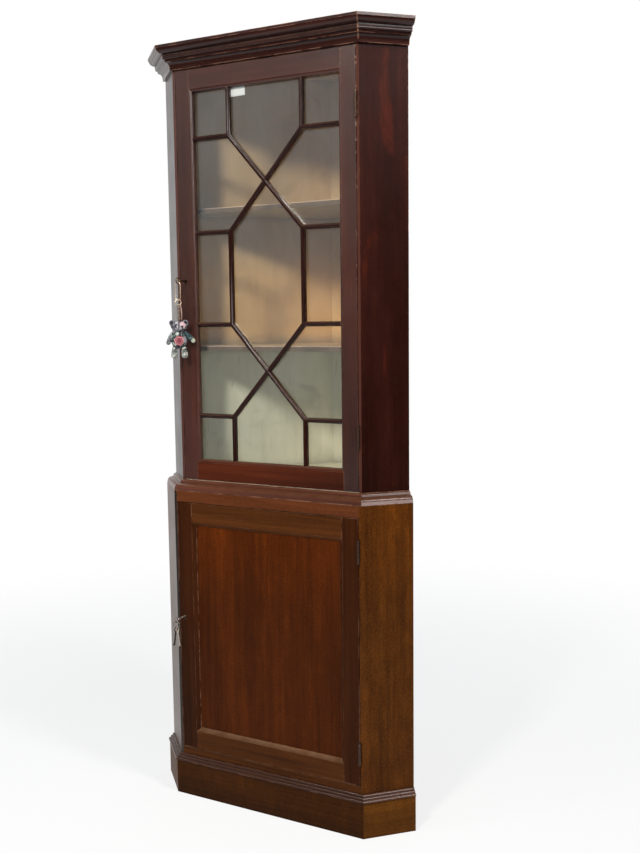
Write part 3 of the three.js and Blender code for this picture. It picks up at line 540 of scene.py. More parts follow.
# Metal, glass, paper and cloth
def metal(name, low, high, rough, tarnish, amount=0.6, patch=260.0, metallic=1.0, painted_left_shade=0.0, gloss=0.5):
    """Worn metal between two tones, with spots of tarnish. painted_left_shade darkens the faces that look
    left, as painted shade.
    """
    material, tree = new_material(name)
    place = tree.place()
    tarnish = srgb(*tarnish)
    colour = tree.mix(tree.noise(place, 90.0, 4.0, 0.65), srgb(*low), srgb(*high))
    spots = tree.times(tree.span(tree.noise(place, patch, 3.0, 0.6), 0.48, 0.66), amount)
    colour = tree.mix(spots, colour, tarnish)
    colour = tree.mix(tree.times(tree.hollows(0.002), 0.7), colour, tarnish)
    # Painted shade on the faces that look left
    if painted_left_shade:
        colour = tree.mix(tree.span(tree.facing()[0], 0.25, -0.15, 0.0, painted_left_shade), colour, tarnish)
    roughness = tree.times_plus(spots, 0.3, rough)
    grain = tree.noise(place, 700.0, 2.0)
    tree.dress(grain, 0.2, 0.0001, colour=colour, rough=roughness, metal=metallic, gloss=gloss)
    return material


def glass_material():
    """Old glass, a little uneven, with a thin veil of dirt, tinted blue, that is also a painted reflection
    of a room. It lets light through to the case behind.
    """
    material, tree = new_material("old_glass")
    place = tree.place()
    tint = tree.mix(tree.noise(place, 3.0), (0.955, 0.985, 0.965, 1), (0.97, 0.985, 0.975, 1))
    tree.dress(tree.noise(place, 5.0, 1.0), 0.12, 0.01, colour=tint, through=1.0, rough=0.01, ior=1.5)
    # A faint blue veil of dirt over the glass, which is also a painted reflection
    film_and_reflection = tree.node("BsdfDiffuse", {"Color": (0.66, 0.8, 0.92, 1)}).outputs[0]
    smear = tree.span(tree.noise(place, 7.0, 4.0, 0.6), 0.3, 0.7, 0.008, 0.018)
    dusty_and_reflecting = tree.mix_shader(smear, tree.shader.outputs[0], film_and_reflection)
    clear = tree.node("BsdfTransparent", {"Color": (0.93, 0.95, 0.94, 1)}).outputs[0]
    path = tree.node("LightPath").outputs
    unseen = tree.most(path["Is Shadow Ray"], path["Is Diffuse Ray"])
    tree.show(tree.mix_shader(unseen, dusty_and_reflecting, clear))
    return material


def paper_material():
    """A blank ticket: off-white with a thin grey-blue frame."""
    material, tree = new_material("ticket_paper")
    fibre = tree.noise(tree.place(), 400.0, 4.0)
    paper = tree.mix(fibre, srgb(180, 182, 178), srgb(198, 200, 195))
    x, _, z = tree.xyz()
    from_rims = [tree.minus(size / 2, tree.unsigned(tree.minus(at, middle)))
                 for at, middle, size in zip((x, z), TICKET_MIDDLE, TICKET_SIZE)]
    off_line = tree.unsigned(tree.minus(tree.least(*from_rims), TICKET_MARGIN))
    line = tree.span(off_line, 0.0007, 0.0004, 0.0, 0.6)
    colour = tree.mix(line, paper, srgb(110, 126, 150))
    tree.dress(fibre, 0.2, 0.0001, colour=colour, rough=0.6, gloss=0.3)
    return material


def banded(tree, cells, channel, stops):
    """A flat colour for each cell. stops are each a place on the ramp and a colour as seen on a screen."""
    pick = tree.node("SeparateColor", {0: cells["Color"]}).outputs[channel]
    stops = [(place, srgb(*colour)) for place, *colour in stops]
    return tree.ramp(pick, *stops, fade="CONSTANT")


def cloth_material(name, ground, sprig, finish=None):
    """Cotton patchwork: scraps with sprigs on them, dark seams, what finish adds in the toy's frame, and
    painted shade in the creases.
    """
    material, tree = new_material(name)
    sockets = {"Vector": tree.place(), "Location": (KEY_X, BOW_Y, 0), "Rotation": (0, 0, TOY_TURN)}
    place = tree.node("Mapping", sockets, vector_type="TEXTURE").outputs[0]
    cells = {"Vector": place, "Scale": 130.0}
    scraps = tree.node("TexVoronoi", cells).outputs
    sprigs = tree.node("TexVoronoi", {"Vector": place, "Scale": 420.0}).outputs
    dots = tree.span(sprigs["Distance"], 0.44, 0.34)
    colour = tree.mix(dots, banded(tree, scraps, 0, ground), banded(tree, sprigs, 1, sprig))
    edge = tree.node("TexVoronoi", cells, feature="DISTANCE_TO_EDGE").outputs["Distance"]
    seam = tree.span(edge, 0.07, 0.02)
    colour = tree.mix(tree.times(seam, 0.85), colour, srgb(20, 22, 28))
    if finish:
        colour = finish(tree, place, colour)
    # Painted shade in the creases of the toy
    colour = tree.mix(tree.times(tree.hollows(0.006), 0.92), colour, srgb(10, 10, 14))
    across, _, up = tree.split(place)
    weave = tree.plus(tree.sine(tree.times(across, 9000.0)), tree.sine(tree.times(up, 9000.0)))
    height = tree.minus(tree.times(weave, 0.1), seam)
    tree.dress(height, 0.5, 0.0006, colour=colour, rough=0.85, gloss=0.2, sheen=0.15, sheen_rough=0.5)
    return material


def patch(tree, place, colour, centre, reach, paint, share=1.0):
    """A soft round patch of another colour. centre is in the toy's frame."""
    inside = tree.span(tree.distance(place, centre), reach, reach * 0.82, 0.0, share)
    return tree.mix(inside, colour, srgb(*paint))


def face_patches(tree, place, colour):
    """A pink scrap with a dark petal on one cheek, and dark ears and eye rings."""
    colour = patch(tree, place, colour, (0.0115, -0.0115, 1.3530), 0.0098, (214, 178, 184), 0.8)
    colour = patch(tree, place, colour, (0.0105, -0.0150, 1.3470), 0.0030, (150, 44, 66))
    for side in (-1, 1):
        colour = patch(tree, place, colour, (side * 0.0192, -0.0042, 1.3585), 0.0058, (16, 16, 22), 0.95)
        colour = patch(tree, place, colour, (side * EYE[0], *EYE[1:]), 0.0040, (34, 30, 40), 0.8)
    return colour


def belly_rose(tree, place, colour):
    """A cabbage rose on the belly, with a pale scrap beside it and a light collar."""
    colour = patch(tree, place, colour, (0.0170, -0.0100, 1.3120), 0.0100, (196, 188, 198), 0.4)
    colour = patch(tree, place, colour, (-0.0060, -0.0130, 1.3290), 0.0060, (168, 186, 176), 0.6)
    offset = tree.vector_math("SUBTRACT", place, ROSE)[0]
    across, _, up = tree.split(offset)
    angle = tree.math("ARCTAN2", up, across)
    frill = tree.times(tree.sine(tree.times(angle, 6.0)), 0.0011)
    rose = tree.plus(tree.vector_math("LENGTH", offset)["Value"], frill)
    petals = tree.sine(tree.times_plus(rose, 1150.0, tree.times(angle, 2.0)))
    petals = tree.times_plus(petals, 0.36, tree.span(rose, 0.0, 0.016, 0.1, 0.72))
    pink = tree.ramp(petals, (0.0, srgb(84, 16, 32)), (0.4, srgb(150, 64, 76)), (1.0, srgb(206, 160, 158)))
    return tree.mix(tree.span(rose, 0.0142, 0.0132), colour, pink)


def pale_hand(tree, place, colour):
    return patch(tree, place, colour, (0.0420, -0.0040, 1.3060), 0.0110, (196, 200, 178), 0.8)


def pale_feet(tree, place, colour):
    for side in (-1, 1):
        colour = patch(tree, place, colour, (side * 0.0150, -0.0060, 1.2660), 0.0090, (190, 190, 182), 0.35)
    return colour


def plain_material(name, low, high, rough):
    material, tree = new_material(name)
    grain = tree.noise(tree.place(), 300.0)
    tree.dress(grain, 0.2, 0.0001, colour=tree.mix(grain, srgb(*low), srgb(*high)), rough=rough)
    return material


LOCK_METAL = metal("lock_metal", (60, 44, 28), (96, 76, 50), 0.36, (34, 24, 16), 0.7)
DARK_BRASS = metal("dark_brass", (46, 29, 20), (74, 50, 36), 0.42, (30, 18, 12), metallic=0.6)
GILT = metal("gilt_wire", (212, 184, 156), (236, 216, 190), 0.26, (120, 92, 66), 0.3, metallic=0.6)
LINK_METAL = metal("worn_links", (84, 70, 58), (206, 190, 174), 0.24, (20, 14, 10), 0.9, 420.0, 0.6,
    painted_left_shade=0.8, gloss=0.2)
STEEL = metal("worn_steel", (34, 28, 24), (206, 190, 174), 0.3, (8, 6, 5), 0.9, 230.0, 0.3,
    painted_left_shade=0.95, gloss=0.12)
# Lit and shaded copies of one steel: the left spare key gets the darker as painted shade, the right one the
# paler as painted light
SHADED_STEEL = metal("shaded_steel", (24, 20, 17), (84, 74, 66), 0.3, (8, 6, 5), 0.9, 230.0, 0.3,
    painted_left_shade=0.95, gloss=0.12)
LIT_STEEL = metal("lit_steel", (150, 136, 124), (226, 210, 196), 0.3, (40, 32, 26), 0.4, 230.0, 0.3,
    painted_left_shade=0.6, gloss=0.3)
HEAD_CLOTH = cloth_material(
    "head_cotton",
    ((0.0, 100, 98, 106), (0.3, 172, 168, 172), (0.55, 46, 44, 54), (0.8, 128, 118, 130)),
    ((0.0, 206, 202, 206), (0.3, 14, 14, 20), (0.72, 126, 92, 108), (0.86, 186, 184, 188)),
    face_patches)
BODY_CLOTH = cloth_material(
    "body_cotton",
    ((0.0, 30, 48, 50), (0.3, 176, 182, 178), (0.45, 46, 74, 66), (0.7, 24, 26, 34)),
    ((0.0, 200, 202, 196), (0.4, 20, 26, 32), (0.7, 40, 84, 72), (0.9, 172, 104, 120)),
    belly_rose)
LEFT_CLOTH = cloth_material(
    "left_arm_cotton",
    ((0.0, 164, 168, 166), (0.4, 108, 114, 116), (0.7, 52, 58, 62)),
    ((0.0, 210, 210, 206), (0.45, 24, 26, 30), (0.8, 120, 124, 124)))
RIGHT_CLOTH = cloth_material(
    "right_arm_cotton",
    ((0.0, 26, 46, 54), (0.5, 56, 84, 88), (0.8, 20, 28, 36)),
    ((0.0, 34, 58, 64), (0.5, 18, 26, 32), (0.8, 176, 186, 178)),
    pale_hand)
LEG_CLOTH = cloth_material(
    "leg_cotton",
    ((0.0, 160, 162, 154), (0.35, 96, 104, 98), (0.6, 34, 54, 44), (0.8, 186, 186, 178)),
    ((0.0, 204, 204, 196), (0.4, 22, 28, 28), (0.7, 48, 70, 58), (0.9, 180, 130, 140)),
    pale_feet)
RIBBON = plain_material("rose_ribbon", (120, 94, 84), (182, 150, 136), 0.4)
BEAD = plain_material("black_bead", (10, 10, 12), (26, 26, 30), 0.15)
PAINT = painted("old_paint")


# The CAD nodes' materials
def cover(material, *names):
    for name in names:
        nodes[name].data.materials.clear()
        nodes[name].data.materials.append(material)


def named(word):
    return [name for name in nodes if word in name]


SATIN ={"gloss": 0.05, "coat": 0.0, "rough": 0.42}
MOULDED = {"coat": 0.0, "rough": 0.22}
cover(mahogany("upper_upright", "upright", (58, 26, 17, 0.5), 1.9, wear=0.3, chips=0.8, gloss=0.5,
               coat=0.25, finish=darker_below),
      "upper_door_left_stile", "upper_door_right_stile")
cover(mahogany("upper_rail", "level", (58, 26, 18, 0.5), 1.9, 1.0, wear=0.3, gloss=0.44, coat=0.25),
      "upper_top_rail", "upper_door_top_rail")
cover(mahogany("upper_foot_rail", "level", (64, 25, 9, 0.5), 1.9, 1.3, wear=0.3, gloss=0.12, coat=0.1),
      "upper_door_bottom_rail")
cover(mahogany("upper_bars", "upright", (35, 12, 8, 0.4), wear=0.4, grime_and_shade=1.0, gloss=0.2, **MOULDED),
      "upper_door_glazing_bars")
cover(mahogany("upper_return", "upright", (38, 14, 9, 0.5), 1.8, wear=0.3, chips=0.9, gloss=0.04,
               coat=0.0, rough=0.3, mottle=0.4, blotch=0.3, finish=reddish_patches),
      "upper_return_right")
cover(mahogany("upper_left_return", "upright", (38, 14, 9, 0.45), 1.8, wear=0.3, gloss=0.31,
               finish=red_front),
      "upper_return_left")
cover(mahogany("cornice_wood", "wrap_upper", (42, 18, 13, 0.5), 1.9, wear=1.3, grime_and_shade=1.0, dust_and_sheen=0.3,
               gloss=0.3, **MOULDED),
      *named("cornice_"))
cover(mahogany("waist_wood", "wrap_upper", (70, 32, 16, 0.5), 1.6, wear=0.7, chips=0.25, grime_and_shade=1.0,
               dust_and_sheen=0.1, gloss=0.25, **MOULDED),
      "waist_moulding")
cover(mahogany("frieze_wood", "level", (88, 46, 23, 0.45), streak=1.3, wear=0.3, **SATIN), "frieze_rail")
cover(mahogany("lower_upright", "upright", (50, 22, 5, 0.45), streak=1.1, wear=0.7, **SATIN),
      "lower_door_left_stile", "lower_door_right_stile")
cover(mahogany("lower_rail", "level", (72, 38, 13, 0.5), 1.4, 1.4, wear=0.35, dust_and_sheen=0.3, **SATIN),
      "bottom_rail", "lower_door_top_rail", "lower_door_bottom_rail")
cover(mahogany("panel_wood", "upright", (65, 27, 3, 0.42), 1.6, 1.0, dust_and_sheen=0.45, mottle=0.4, blotch=0.25,
               finish=warmer_above, **SATIN),
      "lower_door_panel")
cover(mahogany("lower_return", "upright", (72, 38, 8, 0.45), 1.4, 1.2, wear=0.2, chips=0.15, mottle=0.6,
               blotch=0.4, finish=warm_inside, **SATIN),
      "lower_return_right")
cover(mahogany("lower_left_return", "upright", (66, 36, 9), gloss=0.43, coat=0.0, mottle=0.5,
               finish=painted_gap_shadow),
      "lower_return_left")
cover(mahogany("plinth_wood", "wrap_lower", (53, 26, 4, 0.45), 1.5, 1.3, 1.0, wear=0.3, chips=0.3,
               mottle=0.4, blotch=0.3, **SATIN),
      "plinth")
cover(mahogany("reed_wood", "wrap_lower", (52, 25, 12, 0.4), lift=0.35, chips=0.1, grime_and_shade=1.0, dust_and_sheen=0.05,
               gloss=0.3, **MOULDED),
      "base_moulding")
cover(PAINT, *named("_board"))
cover(painted("shelf_paint", with_edge=True), *named("_shelf"))
cover(painted("old_paint_on_backs", with_backs=True), *named("_back_"))
cover(glass_material(), "upper_door_glass")
cover(LOCK_METAL, *named("_lock"), "upper_key")
cover(DARK_BRASS, *named("_hinge_"))
cover(GILT, "key_loop", "fob_chain")
cover(STEEL, "lower_key", "spare_key_ring")
cover(SHADED_STEEL, "spare_key_left")
cover(LIT_STEEL, "spare_key_right")
cover(HEAD_CLOTH, "bear_head")
cover(BODY_CLOTH, "bear_body")
cover(LEFT_CLOTH, "bear_left_arm")
cover(RIGHT_CLOTH, "bear_right_arm")
cover(LEG_CLOTH, "bear_left_leg", "bear_right_leg")


def bevel_for(name):
    """How far a node's arrises are rounded."""
    if name.endswith("_bolt"):
        return 0.0004
    board = any(word in name for word in ("_return_", "_shelf", "_board"))
    return 0.0008 if board or name in ("bottom_rail", "frieze_rail", "upper_top_rail") else 0.0


def soften(name, node):
    """Rounds a CAD node's arrises and shades its curves smoothly, with modifiers only."""
    node.data.polygons.foreach_set("use_smooth", [True] * len(node.data.polygons))
    set_all(node.modifiers.new("weld", "WELD"), merge_threshold=0.00002)
    bevel = bevel_for(name)
    if bevel:
        set_all(node.modifiers.new("arris", "BEVEL"), width=bevel, segments=2, limit_method="ANGLE",
                angle_limit=math.radians(40), use_clamp_overlap=True)
        set_all(node.modifiers.new("shade", "WEIGHTED_NORMAL"), keep_sharp=True)
    else:
        crease = math.radians(38 if name == "upper_door_glazing_bars" else 32)
        set_all(node.modifiers.new("split", "EDGE_SPLIT"), split_angle=crease)


for name, node in nodes.items():
    soften(name, node)


# New pieces
def piece_from(name, mesh_maker, material, body, smooth=True):
    shape = bmesh.new()
    mesh_maker(shape)
    data = bpy.data.meshes.new(name)
    shape.normal_update()
    shape.to_mesh(data)
    shape.free()
    data.polygons.foreach_set("use_smooth", [smooth] * len(data.polygons))
    data.materials.append(material)
    made = add_object(name, data)
    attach(made, body)
    return made


def circle(shape, centre, across, side, radius, count):
    turns = [2 * math.pi * k / count for k in range(count)]
    return [shape.verts.new(centre + (across * math.cos(turn) + side * math.sin(turn)) * radius)
            for turn in turns]


def bridge(shape, rings, shift=0):
    """Faces from each ring of corners to the next, whose corners are counted from shift."""
    for low, high in zip(rings, rings[1:]):
        count = len(low)
        for k in range(count):
            n = (k + 1) % count
            shape.faces.new((low[k], low[n], high[(n + shift) % count], high[(k + shift) % count]))


def capped(shape, rings):
    """A closed skin over rings of corners."""
    bridge(shape, rings)
    shape.faces.new(list(reversed(rings[0])))
    shape.faces.new(rings[-1])


def ring_wire(shape, points, radius, sides):
    """A closed wire of round section through the points."""
    rings = []
    across = None
    for i, point in enumerate(points):
        along = (points[(i + 1) % len(points)] - points[i - 1]).normalized()
        if across is None:
            across = along.orthogonal().normalized()
        across = (across - along * across.dot(along)).normalized()
        rings.append(circle(shape, point, across, along.cross(across), radius, sides))
    bridge(shape, rings)
    first, last = rings[0], rings[-1]
    gaps = [(last[0].co - other.co).length for other in first]
    bridge(shape, [last, first], gaps.index(min(gaps)))


def ring_points(centre, half_width, half_height, plane, count=40):
    """Points of a stadium ring. plane is the two directions that it lies along, its long one second."""
    wide, tall = Vector(plane[0]), Vector(plane[1])
    straight = half_height - half_width
    made = []
    for i in range(count):
        turn = 2 * math.pi * (i + 0.5) / count
        rise = half_width * math.sin(turn) + (straight if math.sin(turn) > 0 else -straight)
        made.append(Vector(centre) + wide * half_width * math.cos(turn) + tall * rise)
    return made


def turned(shape, start, along, stations, sides):
    """A turned form: stations are pairs of distance along and radius."""
    across = along.orthogonal().normalized()
    side = along.cross(across)
    capped(shape, [circle(shape, start + along * distance, across, side, radius, sides)
                   for distance, radius in stations])


def box_into(shape, low, high):
    made = bmesh.ops.create_cube(shape, size=1.0)["verts"]
    low, high = Vector(low), Vector(high)
    for vertex in made:
        vertex.co = (low + high) / 2 + vertex.co * (high - low)
    return made


def key_mesh(centre, along, bow, wire, shank, length, bit_drop, down=(0, 0, -1), sides=24):
    """A key with a flattened ring bow, a turned collar and a notched bit."""
    centre, along, down = Vector(centre), Vector(along).normalized(), Vector(down)
    wide = along.cross(down)
    root = [(bow - wire * 0.6, shank * 0.9), (bow + wire * 0.6, shank)]
    collar = [(bow + wire * way, shank + wire * swell)
              for way, swell in ((1, 0.45), (1.5, 0.5), (2, 0.4), (2.3, 0))]
    tip = [(length - 0.001, shank), (length - 0.0003, shank * 0.9), (length, shank * 0.7)]
    # Each tooth's back and front, measured from the tip, and its share of the drop
    teeth = [(0.0048, 0.0036, 1.0), (0.0037, 0.0024, 0.72), (0.0025, 0.0012, 1.0), (0.0013, 0.0002, 0.84)]
    half_tooth = 0.001

    def make(shape):
        ring_wire(shape, ring_points(centre, bow, bow, (down, along), 36), wire, 10)
        turned(shape, centre, along, root + collar + tip, sides)
        turn = Matrix((wide, along, down)).transposed()
        for back, front, share in teeth:
            low = (-half_tooth, length - back, 0.0)
            for vertex in box_into(shape, low, (half_tooth, length - front, bit_drop * share)):
                vertex.co = centre + turn @ vertex.co
    return make


# The toy
def ball(shape, centre, half, taper=0.0, segments=32, rings=20):
    """An ellipsoid, wider towards its top by taper."""
    made = bmesh.ops.create_uvsphere(shape, u_segments=segments, v_segments=rings, radius=1.0)
    for vertex in made["verts"]:
        x, y, z = vertex.co
        swell = 1 + taper * z
        vertex.co = Vector(centre) + Vector((x * swell * half[0], y * swell * half[1], z * half[2]))


def in_toy_frame(build):
    """Builds in the toy's own frame, then turns the piece into its place."""
    def make(shape):
        build(shape)
        for vertex in shape.verts:
            vertex.co = TOY_PLACE @ vertex.co
    return make


def stuffed_piece(part, build, cloth):
    """One stuffed part: a closed skin over overlapping forms, remeshed into one and smoothed."""
    made = piece_from(f"toy_{part}", in_toy_frame(build), cloth, "fob")
    set_all(made.modifiers.new("skin", "REMESH"), mode="VOXEL", voxel_size=0.0007, use_smooth_shade=True)
    set_all(made.modifiers.new("smooth", "SMOOTH"), factor=0.5, iterations=6)
    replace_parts(made, f"bear_{part}")


def bear_head(shape):
    middle = Vector((0, 0, HEAD_Z))
    ball(shape, middle, (0.0225, 0.0150, 0.0150), 0.06)
    ball(shape, middle + Vector((0, -0.0105, -0.0045)), (0.0095, 0.0062, 0.0070))
    for side in (-1, 1):
        ball(shape, middle + Vector((side * 0.0185, 0.001, 0.0090)), (0.0082, 0.0046, 0.0082))


def bear_body(shape):
    ball(shape, (0, 0, 1.3125), (0.0212, 0.0152, 0.0262), -0.14)


def bear_arm(side, shoulder, hand):
    def build(shape):
        high, low = [Vector((side * out, 0, z)) for out, z in (shoulder, hand)]
        for share in (0.0, 0.2, 0.4, 0.6, 0.8, 1.0):
            size = 0.0054 + 0.0022 * math.sin(math.pi * min(1.0, share * 0.8 + 0.1))
            ball(shape, high.lerp(low, share), (size, size, size), segments=20, rings=14)
    return build


def bear_leg(side):
    def build(shape):
        hip = Vector((side * 0.0125, 0, 1.2870))
        foot = Vector((side * 0.0146, -0.0002, 1.2690))
        for share in (0.0, 0.25, 0.5, 0.75, 1.0):
            size = 0.0074 + 0.0014 * math.sin(math.pi * share * 0.5)
            ball(shape, hip.lerp(foot, share), (size, size * 1.04, size), segments=20, rings=14)
        sole = foot + Vector((0, -0.0020, -0.0005))
        ball(shape, sole, (0.0080, 0.0078, 0.0074), segments=20, rings=14)
    return build


def bead_eyes(shape):
    for side in (-1, 1):
        ball(shape, (side * EYE[0], *EYE[1:]), (0.0016, 0.0010, 0.0016), segments=16, rings=10)
    ball(shape, (0, -0.0163, 1.3460), (0.0023, 0.0011, 0.0016), segments=16, rings=10)


stuffed_piece("head", bear_head, HEAD_CLOTH)
stuffed_piece("body", bear_body, BODY_CLOTH)
stuffed_piece("left_arm", bear_arm(-1, (0.0185, 1.3268), (0.0295, 1.3035)), LEFT_CLOTH)
stuffed_piece("right_arm", bear_arm(1, (0.0180, 1.3290), (0.0385, 1.3085)), RIGHT_CLOTH)
stuffed_piece("left_leg", bear_leg(-1), LEG_CLOTH)
stuffed_piece("right_leg", bear_leg(1), LEG_CLOTH)
piece_from("toy_eyes_and_nose", in_toy_frame(bead_eyes), BEAD, "fob")


# The wire loop, the clasp, the chain and the ribbon
def loop_mesh(shape):
    points = ring_points((KEY_X, BOW_Y, LOOP_Z), 0.008, 0.0245, ((1, 0, 0), (0, 0, 1)), 56)
    ring_wire(shape, points, 0.0009, 10)


def clasp_mesh(shape):
    """Two wire rings side by side."""
    turn = math.pi / 2 - 0.35
    flat = (math.cos(turn), math.sin(turn), 0)
    beside = Vector((math.sin(turn), -math.cos(turn), 0)) * 0.0007
    for way in (-1, 1):
        centre = Vector((KEY_X, BOW_Y, CLASP_MIDDLE)) + beside * way
        points = ring_points(centre, CLASP_RADIUS * 1.25, CLASP_RADIUS, (flat, (0, 0, 1)))
        ring_wire(shape, points, 0.00075, 8)


def links_mesh(shape):
    pitch = CHAIN_LENGTH / CHAIN_LINKS
    for link in range(CHAIN_LINKS):
        turn = math.radians(50 + 90 * (link % 2))
        at = (KEY_X, BOW_Y, CHAIN_TOP - pitch * (link + 0.5))
        plane = ((math.cos(turn), math.sin(turn), 0), (0, 0, 1))
        ring_wire(shape, ring_points(at, 0.0034, pitch / 2 + 0.0011, plane, 20), 0.0012, 8)


def ribbon_mesh(shape):
    """A narrow ribbon beside the chain, bowed out a little."""
    steps = 24
    rows = []
    for i in range(steps + 1):
        share = i / steps
        out = 0.0072 + 0.0035 * share + 0.0015 * math.sin(math.pi * share)
        z = CHAIN_TOP + 0.0008 - share * (CHAIN_LENGTH + 0.0005)
        twist = 0.5 * math.sin(share * 5.0)
        across = Vector((math.cos(twist), math.sin(twist), 0)) * 0.0015
        thick = Vector((-math.sin(twist), math.cos(twist), 0)) * 0.0002
        centre = Vector((KEY_X + out, BOW_Y, z))
        corners = ((-1, -1), (1, -1), (1, 1), (-1, 1))
        rows.append([shape.verts.new(centre + across * a + thick * t) for a, t in corners])
    capped(shape, rows)


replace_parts(piece_from("gilt_loop", loop_mesh, GILT, "wire_loop"), "key_loop")
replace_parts(piece_from("fob_clasp", clasp_mesh, GILT, "fob"), "fob_chain")
piece_from("fob_links", links_mesh, LINK_METAL, "fob")
piece_from("fob_ribbon", ribbon_mesh, RIBBON, "fob")


# The keys
def spare_ring(shape):
    centre = (*LOWER_KEY[:2], RING_TOP - RING_RADIUS)
    ring_wire(shape, ring_points(centre, RING_RADIUS, RING_RADIUS, ((1, 0, 0), (0, 0, 1))), RING_WIRE, 10)


def spare_key(side):
    """One of the two keys on the ring, splayed to its side."""
    lift = RING_RADIUS - math.sqrt(RING_RADIUS ** 2 - SPARE_OFFSET ** 2)
    foot = Vector((LOWER_KEY[0] + side * SPARE_OFFSET, LOWER_KEY[1], RING_TOP - 2 * RING_RADIUS + lift))
    down = Matrix.Rotation(-side * SPARE_SPLAY, 3, "Y") @ Vector((0, 0, -1))
    hang = SPARE_BOW - SPARE_WIRE - SPARE_SLACK - RING_WIRE
    sizes = (SPARE_BOW, SPARE_WIRE, SPARE_SHANK, SPARE_LENGTH, SPARE_BIT)
    return key_mesh(foot + down * hang, down, *sizes, down=(0, -1, 0), sides=18)


upper_key = key_mesh((KEY_X, BOW_Y, KEY_Z), (0, 1, 0), BOW_RADIUS, BOW_WIRE, KEY_SHANK, 0.0675, KEY_BIT)
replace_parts(piece_from("brass_key", upper_key, LOCK_METAL, "upper_key"), "upper_key")
lower_key = key_mesh(LOWER_KEY, (0, 1, 0), BOW_RADIUS, BOW_WIRE, KEY_SHANK, 0.0725, KEY_BIT)
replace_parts(piece_from("steel_key", lower_key, STEEL, "lower_key"), "lower_key")
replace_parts(piece_from("split_ring", spare_ring, STEEL, "spare_ring"), "spare_key_ring")
for side, word, steel in ((-1, "left", SHADED_STEEL), (1, "right", LIT_STEEL)):
    made = piece_from(f"spare_{word}", spare_key(side), steel, "spare_keys")
    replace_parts(made, f"spare_key_{word}")


def label_mesh(shape):
    """A blank paper ticket stuck on the glass, with one corner lifting."""
    wide, tall = 12, 8
    left, foot = [TICKET_MIDDLE[k] - TICKET_SIZE[k] / 2 for k in (0, 1)]

    def corner(a, b, forward):
        y = TICKET_BACK - 0.0012 * max(0.0, a + b - 1.6) ** 1.5 - forward
        return shape.verts.new((left + TICKET_SIZE[0] * a, y, foot + TICKET_SIZE[1] * b))

    fronts, backs = [
        [[corner(i / wide, j / tall, forward) for i in range(wide + 1)] for j in range(tall + 1)]
        for forward in (TICKET_THICKNESS, 0.0)]
    for j in range(tall):
        for i in range(wide):
            corners = ((j, i), (j, i + 1), (j + 1, i + 1), (j + 1, i))
            shape.faces.new([fronts[m][n] for m, n in corners])
            shape.faces.new([backs[m][n] for m, n in (corners[0], *reversed(corners[1:]))])
    rim = [(0, i) for i in range(wide)] + [(j, wide) for j in range(tall)]
    rim += [(tall, i) for i in range(wide, 0, -1)] + [(j, 0) for j in range(tall, 0, -1)]
    for (j, i), (m, n) in zip(rim, rim[1:] + rim[:1]):
        shape.faces.new((fronts[m][n], fronts[j][i], backs[j][i], backs[m][n]))


piece_from("blank_ticket", label_mesh, paper_material(), "upper_door", smooth=False)


# Screws in the hinge leaves
def screws_for(word, level):
    low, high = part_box(f"{word}_hinge_{level}_case_leaf")
    y = (LOWER_FRONT if word == "lower" else UPPER_FRONT) + 0.0095
    heights = [low.z + (high.z - low.z) * share for share in (0.14, 0.5, 0.86)]
    leaf_gap = 0.0015
    head = {"radius1": 0.0027, "radius2": 0.0024, "depth": 0.0003}

    def screws(edge, way):
        def build(shape):
            for z in heights:
                made = bmesh.ops.create_cone(shape, cap_ends=True, segments=18, **head)
                for vertex in made["verts"]:
                    x, v, w = vertex.co
                    vertex.co = Vector((edge + way * (w + 0.00012), y + x, z + v))
                box_into(shape, (edge + way * 0.00022, y - 0.0022, z - 0.00025),
                         (edge + way * 0.00032, y + 0.0022, z + 0.00025))
        return build

    edge = HINGE_EDGE[word]
    for leaf, body, maker in (("door", f"{word}_door", screws(edge, 1)),
                              ("case", "case", screws(edge + leaf_gap, -1))):
        piece_from(f"{word}_{level}_{leaf}_screws", maker, DARK_BRASS, body, False)


for word in ("upper", "lower"):
    for level in ("low", "high"):
        screws_for(word, level)


def corner_strips(shape):
    """Narrow upright boards that close the inner corner of the three upper bays."""
    levels = ("upper_bottom_board", "upper_shelf_low", "upper_shelf_high", "upper_top_board")
    half = STRIP_HALF_WIDTH
    plan = [(-half, INNER_CORNER - half), (half, INNER_CORNER - half), (0.0, INNER_CORNER)]
    for floor, ceiling in zip(levels, levels[1:]):
        heights = (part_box(floor)[1].z + STRIP_GAP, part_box(ceiling)[0].z - STRIP_GAP)
        capped(shape, [[shape.verts.new((x * 0.98, y - STRIP_GAP, z)) for x, y in plan] for z in heights])


piece_from("inner_corner_strips", corner_strips, PAINT, "case", smooth=False)


# Floor, light and camera
def stage_floor():
    """A pale disc that fades to white at its rim and keeps the object's shadow."""
    sides = 64
    turns = [2 * math.pi * k / sides for k in range(sides)]
    corners = [(FLOOR_REACH * math.cos(a), FLOOR_REACH * math.sin(a), 0) for a in turns]
    data = bpy.data.meshes.new("floor")
    data.from_pydata(corners, [], [list(range(sides))])
    floor = add_object("floor", data)
    floor.location.z = -0.0005
    material, tree = new_material("floor")
    seen = tree.node("LightPath").outputs
    pale = tree.node("Emission", {"Color": (1, 1, 1, 1), "Strength": 1.0}).outputs[0]
    tree.set(colour=(0.8, 0.8, 0.8, 1), rough=0.9, gloss=0.1)
    watch = tree.most(seen["Is Camera Ray"], seen["Is Glossy Ray"])
    watch = tree.most(watch, seen["Is Transmission Ray"])
    share = tree.span(tree.distance(tree.place(), (0, 0, 0)), 0.9, 3.2, 0.74, 1.0)
    tree.show(tree.mix_shader(tree.times(watch, share), tree.shader.outputs[0], pale))
    data.materials.append(material)


